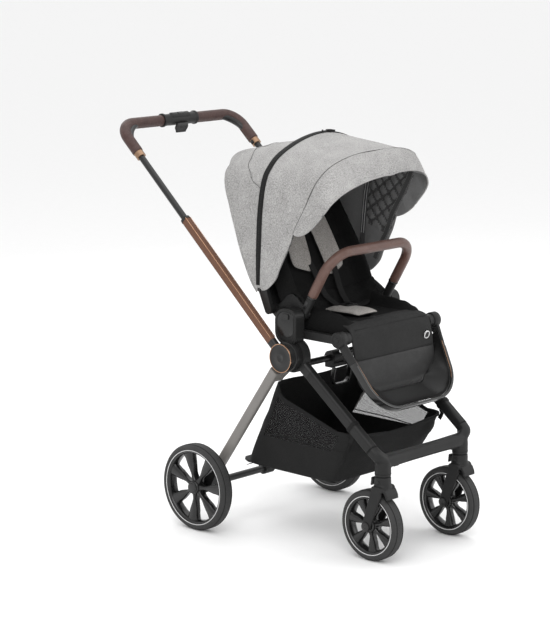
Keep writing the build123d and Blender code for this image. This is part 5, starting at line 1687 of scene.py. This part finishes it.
ZIP_BOW = Bow(((211, 6, 60), (212.5, 40, 88), (214, 107, 91), (216, 212, 92.6), (214, 294, 94.5), (194, 332, 94.8),
               (162, 360, 94.9), (107, 386, 95.1), (55, 401, 95.3), (0, 407.5, 95.4)))
FRONT_EDGE = Bow(((211, 10, 185), (212, 32, 168), (212, 70, 150), (211.5, 100, 138.5), (211, 155, 131),
                  (210, 178, 128.8), (209, 203, 126.4), (208.5, 227, 125.4), (208, 275, 124.7), (208, 328, 123.6),
                  (200, 371, 123), (169, 409, 122.6), (96, 434, 122.2), (0, 439.5, 122)))
VISOR_SEAM = Bow(FRONT_EDGE.stops[6:], 1.0)
VISOR_RIM = Bow(((209, 203, 127), (210, 206, 129.5), (212, 221, 133.2), (213, 256, 135.8), (213, 291, 136),
                 (213, 330, 135.7), (204, 358, 134.8), (165, 390, 133.5), (99, 411, 132.4), (35, 418.5, 131.8),
                 (0, 418.5, 131.8)), 4.0)
REAR_EDGE = Bow(((210, 12, -40), (210, 37, 33), (207, 109, 52), (205, 180, 58.5), (203, 233, 61), (199, 259, 61.7),
                 (186, 266, 62), (150, 265, 62), (75, 264, 62), (0, 264, 62)))


def outward(point: Vector) -> Vector:
    """Direction from the canopy's middle to a point on it."""
    radial = point - CANOPY
    middle = CANOPY + Vector((0, radial.y, radial.z)) * 0.45
    return (point - middle).normalized()


def rows_between(first: Sequence[Vector], last: Sequence[Vector], steps: int,
                 point: Callable[[Vector, Vector, float, float], Vector]) -> Rows:
    """Rows of points from one bow's line to another's.

    Args:
        first: line of the first row.
        last: line of the last row.
        steps: rows after the first.
        point: point from its two ends, its share of the way up the side and its share across.

    Returns:
        The rows.
    """
    count = len(first) - 1
    return [[point(a, b, 2 * min(k, count - k) / count, i / steps) for k, (a, b) in enumerate(zip(first, last))]
            for i in range(steps + 1)]


@dataclass
class Canopy:
    """Rear, middle and visor panels with zip, seams and linings."""

    thick: float = 1.3
    count: int = 120
    quilt: float = 40.0

    def build(self) -> None:
        """Make the canopy's pieces."""
        self.build_middle()
        self.build_lining()
        self.build_zip()
        self.build_rear()
        self.build_visor()

    def middle_rows(self, steps: int, count: int, inset: float = 0.0) -> Rows:
        """Rows of the tight cloth between the zip and the visor seam.

        Args:
            steps: rows after the first.
            count: points after the first.
            inset: distance inwards.

        Returns:
            The rows.
        """
        def spot(a: Vector, b: Vector, top: float, share: float) -> Vector:
            """Point drawn in on the sides and puffed out on the roof."""
            point = a.lerp(b, share)
            rise = (2.5 * blend_value(0, 1, (top / 2 - 0.27) / 0.16) - 1.5) * sin(pi * share)
            return point + outward(point) * rise

        return rows_between(ZIP_BOW.line(count, inset), FRONT_EDGE.line(count, inset), steps, spot)

    def build_middle(self) -> None:
        """Make the main panel between the zip and the visor seam, and the seam's tape."""
        shape = Shape().grid(self.middle_rows(26, self.count))
        shape.ripple(1.5, 90, 4.0)
        shape.ripple(0.4, 28, 9.0)
        cloth = publish(shape, "canopy_middle_panel", CANOPY_CLOTH, "canopy_mid", ("canopy_middle",), levels=1,
                        thick=self.thick)
        edge = [p + outward(p) * 0.9 for p in VISOR_SEAM.line(160)]
        seam = Shape().sweep(edge, steady(0.9, 0.5, 2, 8), heading(212))
        publish(seam, "canopy_visor_seam", SEAM_GREY, "canopy_mid")
        hem = Shape().tube(FRONT_EDGE.line(180)[:44], 1.2, count=8)
        hem.tube(FRONT_EDGE.line(180)[-44:], 1.2, count=8)
        publish(hem, "canopy_front_hem", CANOPY_CLOTH, "canopy_mid")

    def build_lining(self) -> None:
        """Make the quilted lining, the bow channels and the light piping inside the zip."""
        steps, count = 60, 260
        rows = self.middle_rows(steps, count, 3.0)
        length = sum((b - a).length for a, b in zip(rows[0], rows[0][1:]))
        grooves = []
        for i, row in enumerate(rows):
            share = i / steps
            for k, point in enumerate(row):
                top = min(k, count - k) / count
                deep = share * min(length * top * 0.55, 200)
                arc = length * k / count
                a, b = (arc + deep) * pi / self.quilt, (arc - deep) * pi / self.quilt
                swell = abs(sin(a) * sin(b)) if top > 0.13 else 0.5
                grooves.append(swell)
                row[k] = point - outward(point) * (0.5 + 4.5 * sqrt(swell))
        shape = Shape().grid(rows)
        # Faces at the bottom of the quilt grooves take the darker lining colour, which paints the shade in the
        # grooves.
        for n, face in enumerate(shape.bm.faces):
            i, k = divmod(n, count)
            low = min(grooves[(i + a) * (count + 1) + k + b] for a in (0, 1) for b in (0, 1))
            face.material_index = 1 if low < 0.1 else 0
        lining = publish(shape, "canopy_quilted_lining", (LINING, LINING_GROOVE_SHADE), "canopy_mid", sharp=180, thick=0.8)
        channels = {"canopy_rear_channel": (ZIP_BOW, "canopy_middle_bow", 90),
                    "canopy_front_channel": (FRONT_EDGE, "canopy_front_bow", 122)}
        stitches = Shape()
        for name, (bow, node, angle) in channels.items():
            line = [p - outward(p) * 2.0 for p in bow.line(140, 7.0)][8:-8]
            if bow is FRONT_EDGE:
                line = [p + heading(angle - 90) * 9 for p in line]
                for shift in (-7.2, 7.2):
                    edge = [p - outward(p) * 1.2 + heading(angle - 90) * shift for p in line]
                    stitches.stitches(edge, 6.0, 3.4, 0.5)
            publish(Shape().sweep(line, steady(9.0, 1.0, 4, 14), heading(angle + 90)), name, CHANNEL, "canopy_mid",
                    (node,))
        publish(stitches, "canopy_channel_stitches", PIPING_LIGHT, "canopy_mid")
        piping = Shape()
        for shift in (-4.0, 4.0):
            line = [p - outward(p) * 3.8 + heading(0) * shift for p in ZIP_BOW.line(140, 7.0)][14:-14]
            piping.tube(line, 1.1, heading(180), 8)
        publish(piping, "canopy_inner_piping", PIPING_LIGHT, "canopy_mid")

    def build_zip(self) -> None:
        """Make the black zip strip, its teeth, slider and pulls."""
        strip, teeth, across = Shape(), Shape(), heading(184.8)
        line = [p + outward(p) * 1.3 for p in ZIP_BOW.line(150)][1:-1]
        strip.sweep(line, lambda share: oval(table(share, (0, 6.5), (0.1, 8.8), (0.9, 8.8), (1, 6.5)), 0.9, 5, 16),
                    across)
        publish(strip, "canopy_zip_tape", WEBBING, "canopy_mid")
        raised = respaced([p + outward(p) * 1.2 for p in line[4:-4]], 3.2)
        for a, b in zip(raised[::2], raised[1::2]):
            run = (b - a).normalized() * 0.9
            middle = (a + b) / 2
            teeth.sweep([middle - run, middle + run], steady(2.1, 0.6, 3, 8), across)
        publish(teeth, "canopy_zip_teeth", GLOSS, "canopy_mid")
        slider = Shape()
        top = polar(CANOPY, 410, 95.4, 2)
        slider.sweep([top + X_AXIS * d for d in (-9, -7, 0, 6, 8)],
                     lambda share: oval(table(share, (0, 2.5), (0.3, 4.4), (1, 3.0)), 2.0, 3, 16), across)
        for offset, drop in ((-16, 0), (22, 1)):
            pull = spline([top + Vector((offset * 0.3, 0, 1.6)), top + Vector((offset * 0.9, -4, 2.4 - drop)),
                           top + Vector((offset * 1.4, -12, 0.5 - drop))], 2)
            slider.sweep(pull, steady(2.8, 0.9, 3, 12), heading(94.8))
        publish(slider, "canopy_zip_slider", GLOSS, "canopy_mid", sharp=50)

    def rear_point(self, a: Vector, b: Vector, top: float, share: float) -> Vector:
        """Point of the rear dome on its cubic from the zip (a) to the rear edge (b).

        Args:
            a: point of the zip's line.
            b: point of the rear edge.
            top: share of the way up the side.
            share: share of the way from a to b.

        Returns:
            The point.
        """
        roof = blend_value(0, 1, (top - 0.37) / 0.18)
        third = (b - a) / 3
        rise = Vector((0, table(top, (0.53, 95), (0.61, 105), (0.69, 107), (0.8, 109), (1, 111)),
                       table(top, (0.53, 8), (0.61, 11), (0.69, 12), (0.8, -22), (1, -60))))
        bulge = Vector((0, table(top, (0.53, 45), (0.61, 67), (0.69, 113), (0.8, 138), (1, 143)),
                        table(top, (0.53, 75), (0.61, 115), (0.69, 138), (0.8, 138), (1, 128))))
        c1, c2 = a + third.lerp(rise, roof), b + (-third).lerp(bulge, roof)
        u = 1 - share
        return a * u ** 3 + c1 * 3 * u * u * share + c2 * 3 * u * share ** 2 + b * share ** 3

    def rear_rows(self, steps: int, count: int, inset: float = 0.0) -> Rows:
        """Rows of the rear dome from the zip down to the backrest."""
        return rows_between(ZIP_BOW.line(count, inset + 0.8), REAR_EDGE.line(count, inset), steps, self.rear_point)

    def build_rear(self) -> None:
        """Make the rear dome, its vent seam, its hem and its lining."""
        rows = self.rear_rows(40, self.count)
        shape = Shape().grid(rows)
        shape.ripple(2.4, 80, 6.0)
        shape.ripple(0.6, 26, 2.0)
        panel = publish(shape, "canopy_rear_panel", CANOPY_CLOTH, "backrest", ("canopy_rear",), levels=1,
                        thick=self.thick)
        hem = Shape().tube([p + outward(p) * 0.4 for p in rows[-1]], 1.3, count=8)
        publish(hem, "canopy_rear_hem", CANOPY_CLOTH, "backrest")
        zip_line, edge = ZIP_BOW.line(self.count, 0.8), REAR_EDGE.line(self.count)
        vent = []
        for k in range(29, self.count - 28):
            top = 2 * min(k, self.count - k) / self.count
            share = table(top, (0.48, 0.01), (0.53, 0.17), (0.60, 0.25), (0.72, 0.27), (1, 0.30))
            point = self.rear_point(zip_line[k], edge[k], top, share)
            vent.append(point + outward(point) * 2.6)
        publish(Shape().tube(spline(vent, 3), 0.5, count=8), "canopy_vent_seam", SEAM_GREY, "backrest")
        lining = Shape().grid(self.rear_rows(20, 80, 5.0))
        lining = publish(lining, "canopy_rear_lining", LINING, "backrest", levels=1, thick=0.8)

    def visor_rows(self, steps: int, count: int, inset: float = 0.0) -> Rows:
        """Rows of the visor, whose seam meets its rim near the lower corners.

        Args:
            steps: rows after the first.
            count: points after the first.
            inset: distance inwards.

        Returns:
            The rows.
        """
        def spot(a: Vector, b: Vector, top: float, share: float) -> Vector:
            """Point swollen outwards, most of all on the roof."""
            swell = table(top, (0, 0), (0.12, 1), (0.4, 2), (0.62, 2.5), (0.8, 6), (1, 12))
            point = a.lerp(b, share)
            return point + outward(point) * swell * (1 - abs(2 * share - 1) ** 2.6)

        return rows_between(VISOR_SEAM.line(count, inset), VISOR_RIM.line(count, inset), steps, spot)

    def build_visor(self) -> None:
        """Make the visor with its rolled rim and plain, softly folded lining."""
        rows = self.visor_rows(22, self.count)
        shape = Shape().grid(rows)
        shape.ripple(1.6, 70, 8.0)
        shape.ripple(0.5, 24, 5.0)
        visor = publish(shape, "canopy_visor_panel", CANOPY_CLOTH, "canopy_visor", ("canopy_front",), levels=1,
                        thick=self.thick)
        rim = Shape().tube(rows[-1], 2.0, heading(133), 12)
        publish(rim, "canopy_visor_rim", CANOPY_CLOTH, "canopy_visor")
        lining = Shape().grid(self.visor_rows(14, 100, 5.0))
        lining.ripple(5.0, 38, 15.0)
        lining = publish(lining, "canopy_visor_lining", LINING, "canopy_visor", levels=1, thick=0.8)


# ---- footrest and bumper ----------------------------------------------------


@dataclass
class Footrest:
    """Gloss band, copper edge lines, discs and inner tray."""

    top_half: float = 190.0
    bottom_half: float = 152.0
    length: float = 215.0
    corner: float = 96.0

    def line(self, step: float = 5.0) -> list[Vector]:
        """Centre line of the band."""
        corners = [inclined(FOOTREST, FOOT_ANGLE, s, 0, x) for s, x in
                   ((12, self.top_half), (self.length, self.bottom_half + 2), (self.length, -self.bottom_half - 2),
                    (12, -self.top_half))]
        return rounded(corners, self.corner, step)

    def build(self) -> None:
        """Make the footrest's pieces."""
        square = heading(FOOT_ANGLE + 90)
        line = self.line()
        total = sum((b - a).length for a, b in zip(line, line[1:]))

        def near_end(share: float) -> float:
            """Distance along the band from its nearer end."""
            return min(share, 1 - share) * total

        def section(share: float) -> Loop:
            """Flat band, stouter at the pivots."""
            d = near_end(share)
            return oval(table(d, (0, 13.5), (60, 12.6), (110, 12)), table(d, (0, 5.2), (50, 4.6), (80, 3.8)), 3.6, 28)

        band = Shape().sweep(line, section, square)
        for face in band.bm.faces:
            spot = face.calc_center_median()
            away = min((spot - line[0]).length, (spot - line[-1]).length)
            face.material_index = 1 if away < 62 else 0
        band.part = 1
        band.lathe_pair([(178.6, 0.01), (178.6, 19.5), (180, 21), (200.5, 21), (202.6, 19.4), (202.6, 15.5),
                         (201.2, 14.6), (201.2, 7.5), (202.6, 6.5), (202.6, 0.01)], FOOTREST, closed=False)
        publish(band, "footrest_band", (GLOSS, FRAME_DARK), "footrest", ("footrest_frame",), sharp=50)
        edges, lines = Shape(), Shape()
        low = [p for p in line if min((p - line[0]).length, (p - line[-1]).length) > 70]
        # Light grey tube along the band's lower edge paints the highlight on its rim.
        edges.tube(offset_line(low, -11.7, 3.0, square), 0.9, square, 8)
        for run in (line[11:34], line[-34:-11]):
            lines.tube(offset_line(run, -10.4, -3.6, square), 0.7, square, 8)
        publish(edges, "footrest_edge_highlight", EDGE_HIGHLIGHT, "footrest")
        publish(lines, "footrest_copper_lines", COPPER_BRIGHT, "footrest")
        wall = line[5:-5]
        rows = []
        for i in range(15):
            share = i / 14
            deep = [table(near_end(k / (len(wall) - 1)), (0, 10), (60, 22), (150, 58)) * share ** 1.2
                    for k in range(len(wall))]
            inner = [offset_line(wall, 0, -4.4 - d, square)[k] for k, d in enumerate(deep)]
            rows.append([p + square * (-9 + 44 * share ** 0.8) for p in inner])
        publish(Shape().grid(rows), "footrest_tray_wall", TRAY_PLASTIC, "footrest", ("foot_tray",), levels=1,
                thick=2.4)
        rod = [inclined(FOOTREST, FOOT_ANGLE, 25, 14, x) for x in (-188, -100, 0, 100, 188)]
        publish(Shape().tube(rod, 4.8, square), "footrest_cross_rod", STEEL, "footrest")


@dataclass
class Bumper:
    """Leather bumper bar with black ends."""

    half: float = 165.0
    reach: float = 199.5
    corner: float = 88.0
    end_length: float = 60.0
    radius: float = 13.4

    def build(self) -> None:
        """Make the grip, its seam and the end pieces."""
        square = heading(BUMPER_ANGLE + 90)
        corners = [inclined(BUMPER, BUMPER_ANGLE, s, 0, x) for s, x in
                   ((self.end_length, self.half), (self.reach, self.half), (self.reach, -self.half),
                    (self.end_length, -self.half))]
        line = rounded(corners, self.corner, 4)

        def section(share: float) -> Loop:
            """Round cover, drawn in at both ends."""
            r = self.radius * table(min(share, 1 - share), (0, 0.9), (0.012, 1))
            return oval(r, r, 2, 40)

        publish(Shape().sweep(line, section, square), "bumper_leather", LEATHER, "bumper", ("bumper_grip",),
                sharp=180)
        seam, thread = Shape(), Shape()
        seam.tube(offset_line(line, -self.radius * 0.5, self.radius * 0.86, square), 0.55, square, 6)
        for turn in (113, 127):
            a = radians(turn)
            thread.stitches(offset_line(line, 13.5 * cos(a), 13.5 * sin(a), square), 4.2, 2.9, 0.5, square)
        publish(seam, "bumper_seam", LEATHER_DARK, "bumper")
        publish(thread, "bumper_stitches", THREAD, "bumper")
        dress(PLASTIC, "bumper_bar")
        rings, buttons = Shape(), Shape()
        for side in (-1, 1):
            ends = [inclined(BUMPER, BUMPER_ANGLE, s, 0, side * self.half) for s in (55.5, 56.5, 60.0, 61.0)]
            rings.sweep(ends, drawn_in((13.6, 13.6), (12.8, 12.8), 2, 40), square)
            face = [inclined(BUMPER, BUMPER_ANGLE, s, 0, side * (self.half + 11.6)) for s in (22, 24, 44, 46)]
            buttons.sweep(face, drawn_in((5.2, 1.3), (3.8, 1.3), 3, 20), square)
        publish(rings, "bumper_end_rings", GLOSS, "bumper", sharp=50)
        publish(buttons, "bumper_release_buttons", GLOSS, "bumper", sharp=60)


# ---- basket -----------------------------------------------------------------


@dataclass
class Basket:
    """Under-seat basket: canvas tray, mesh sides, rim and straps."""

    floor_z: float = 182.4
    floor_half: float = 171.0
    top_half: float = 195.0
    floor_y: tuple[float, float] = (161.0, 489.0)
    top_y: tuple[float, float] = (14.0, 360.0)
    top_z: float = 430.0
    rim: tuple[tuple[float, float], ...] = ((78.0, 328.0), (300.0, 390.0), (322.0, 404.0), (344.0, 427.0))
    seam_z: float = 279.0
    squareness: float = 0.2
    turns: int = 120
    levels: int = 26

    def loop_point(self, turn: float, level: float) -> Vector:
        """Point at a share of the way round and of the way up.

        Args:
            turn: share of the way round.
            level: share of the way up.

        Returns:
            The point.
        """
        a = 2 * pi * turn
        half = self.floor_half + (self.top_half - self.floor_half) * level
        low = self.floor_y[0] + (self.top_y[0] - self.floor_y[0]) * level
        high = self.floor_y[1] + (self.top_y[1] - self.floor_y[1]) * level
        x = half * signed(cos(a), self.squareness)
        y = (low + high) / 2 + (high - low) / 2 * signed(sin(a), self.squareness)
        return Vector((x, y, self.floor_z + (self.top_z - self.floor_z) * level))

    def rim_level(self, y: float, x: float) -> float:
        """Share of the full height at which the rim runs.

        Args:
            y: place along.
            x: place across.

        Returns:
            The share.
        """
        z = self.rim[0][1]
        for (y0, z0), (y1, z1) in zip(self.rim, self.rim[1:]):
            z += (z1 - z0) * min(max((y - y0) / (y1 - y0), 0), 1)
        if y < 150:
            z -= 14 * (1 - min(abs(x) / 172, 1) ** 2)
        return (z - self.floor_z) / (self.top_z - self.floor_z)

    def wall_rows(self, first: float, last: float, steps: int) -> Rows:
        """Rows of the wall between two shares of its height at each place.

        Args:
            first: share of the height at the first row.
            last: share at the last row.
            steps: rows after the first.

        Returns:
            The rows.
        """
        rows = []
        seam = (self.seam_z - self.floor_z) / (self.top_z - self.floor_z)
        for i in range(steps + 1):
            share = first + (last - first) * i / steps
            row = []
            for k in range(self.turns):
                top = self.loop_point(k / self.turns, 1.0)
                level = table_line(share, (0, 0), (0.5, seam), (1, self.rim_level(top.y, top.x)))
                point = self.loop_point(k / self.turns, level)
                sag = 7.0 * sin(pi * share) * (1 - share)
                outward = Vector((point.x, point.y - 300, 0)).normalized()
                row.append(point + outward * sag - Vector((0, 0, 4.0 * sin(pi * share) ** 2)))
            rows.append(row)
        return rows

    def build(self) -> None:
        """Make the basket's pieces."""
        wall = self.wall_rows(0.0, 1.0, self.levels)
        shape = Shape().grid(wall, around=True)
        seam_row = self.levels // 2
        for index, face in enumerate(shape.bm.faces):
            row, column = divmod(index, self.turns)
            spot = self.loop_point((column + 0.5) / self.turns, 1.0)
            net = abs(spot.x) > 0.93 * self.top_half and 66 < spot.y < 322 and seam_row - 1 < row < self.levels - 1
            face.material_index = 1 if net else 0
        middle_y = 302.5
        bottom = [[Vector((p.x * f, middle_y + (p.y - middle_y) * f, self.floor_z)) for p in wall[0]]
                  for f in (1.0, 0.85, 0.5, 0.08)]
        shape.grid(bottom, around=True)
        bmesh.ops.remove_doubles(shape.bm, verts=shape.bm.verts, dist=0.05)

        def slack(point: Vector) -> float:
            """More folds on the canvas front than on the sides."""
            level = min(max((point.z - self.floor_z) / 120, 0), 1)
            return (1.0 if point.y < 140 else 0.45) * level

        shape.ripple(7.0, 55, 3.3, slack)
        shape.ripple(2.2, 20, 8.1, slack)
        creased = [vert.co.copy() for vert in shape.bm.verts][seam_row * self.turns:(seam_row + 1) * self.turns]
        publish(shape, "basket_bag", (BASKET_CLOTH, MESH_CLOTH), "chassis", ("basket",), levels=1, thick=2.0)
        rim_line = self.wall_rows(0.985, 1.0, 1)[1]
        rim = Shape().sweep([p - Z_AXIS * 2 for p in rim_line], steady(2.6, 5.5, 3.5, 16), closed=True)
        publish(rim, "basket_rim_binding", WEBBING, "chassis")
        piping, seams = Shape(), Shape()
        for side in (-1, 1):
            ring = [self.loop_point(k / self.turns, 1) for k in range(self.turns)]
            front = [k for k in range(self.turns) if ring[k].y < 200]
            corner = min(front, key=lambda k: abs(ring[k].x - side * 184))
            column = [row[corner] for row in self.wall_rows(0.02, 0.98, 20)]
            piping.tube(spline(column, 6), 2.0, count=8)
            line = [p + X_AXIS * side * 0.8 for p in creased if p.x * side > 165]
            seams.tube(spline(sorted(line, key=lambda p: p.y), 6), 1.5, count=8)
        publish(piping, "basket_corner_piping", WEBBING, "chassis")
        publish(seams, "basket_side_seams", WEBBING, "chassis")
        straps = Shape()
        for side in (-1, 1):
            leg = inclined(HUB, LEG_ANGLE, 261, 0, side * LEG_X)
            loop = [leg + X_AXIS * side * 13.6 * signed(c, 0.5) + heading(LEG_ANGLE + 90) * 16.6 * signed(s, 0.5)
                    for c, s in turns(40)]
            straps.sweep(loop, steady(5.5, 0.7, 4, 12), heading(LEG_ANGLE), closed=True)
            down = [leg + Vector((side * 0.5, 8, -17)), Vector((side * 185, 84, 324)), Vector((side * 184, 92, 308))]
            straps.sweep(spline(down, 4), steady(6.0, 1.1, 4, 12), Vector((0, 1, 0.4)))
        publish(straps, "basket_leg_straps", WEBBING, "chassis")


# ---- stage ------------------------------------------------------------------


@dataclass
class Studio:
    """Pale floor, soft lights and the camera."""

    camera_place: tuple[float, float, float] = (-4.24884, -3.891905, 1.6925)
    camera_aim: tuple[float, float, float] = (0.71565718, 0.67204681, -0.19023113)
    lens: float = 122.08

    def build(self) -> None:
        """Make the floor, world, lights and camera."""
        scene = bpy.context.scene
        scene.view_settings.view_transform = "Standard"
        self.build_floor()
        world = bpy.data.worlds.new("studio world")
        scene.world = world
        world.use_nodes = True
        background = world.node_tree.nodes["Background"]
        background.inputs["Color"].default_value = (1, 1, 1, 1)
        background.inputs["Strength"].default_value = 1.0
        self.light("key", (-2.6, -2.2, 3.2), 3.0, 75)
        self.light("fill", (2.8, -2.6, 2.0), 3.0, 25)
        self.light("top", (0.3, 0.4, 3.6), 3.4, 40)
        self.light("rim", (1.2, 3.0, 2.4), 2.4, 25)
        camera = bpy.data.cameras.new("camera")
        camera.lens = self.lens
        camera.sensor_width = 36
        camera.sensor_fit = "AUTO"
        camera.clip_end = 200
        holder = linked("camera", camera)
        holder.location = self.camera_place
        holder.rotation_euler = Vector(self.camera_aim).to_track_quat("-Z", "Y").to_euler()
        scene.camera = holder

    def build_floor(self) -> None:
        """Make a wide flat floor."""
        data = bpy.data.meshes.new("floor")
        data.from_pydata([(-90, -90, 0), (90, -90, 0), (90, 90, 0), (-90, 90, 0)], [], [(0, 1, 2, 3)])
        data.materials.append(FLOOR.material())
        floor = linked("floor", data)
        floor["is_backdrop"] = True

    def light(self, name: str, spot: tuple[float, float, float], size: float, power: float) -> None:
        """Add a square soft light aimed at the stroller.

        Args:
            name: its name.
            spot: its place in metres.
            size: its side in metres.
            power: watts.
        """
        lamp = bpy.data.lights.new(name, "AREA")
        lamp.size = size
        lamp.energy = power
        holder = linked(name, lamp)
        holder.location = spot
        holder.rotation_euler = (Vector((0, 0, 0.5)) - Vector(spot)).to_track_quat("-Z", "Y").to_euler()


def corners(bounds: tuple) -> list[list[float]]:
    """Bounds as plain lists."""
    return [list(map(float, corner)) for corner in bounds]


def main() -> None:
    """Build every piece, measuring the bounds before and after."""
    logging.basicConfig(level=logging.INFO, format="%(name)s: %(message)s")
    before = corners(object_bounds())
    for hand in ("left", "right"):
        Wheel(f"front_{hand}", 95.0).build()
        Wheel(f"rear_{hand}", 120.0, turn=21.0).build()
        Caster(hand).build()
        for place_name in ("front", "rear"):
            dress(STEEL, f"{place_name}_{hand}_bearings")
    FrontFrame().build()
    RearFrame().build()
    Handle().build()
    SeatUnit().build()
    Backrest().build()
    Canopy().build()
    Footrest().build()
    Bumper().build()
    Basket().build()
    Studio().build()
    after = corners(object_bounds())


if __name__ == "__main__":
    main()
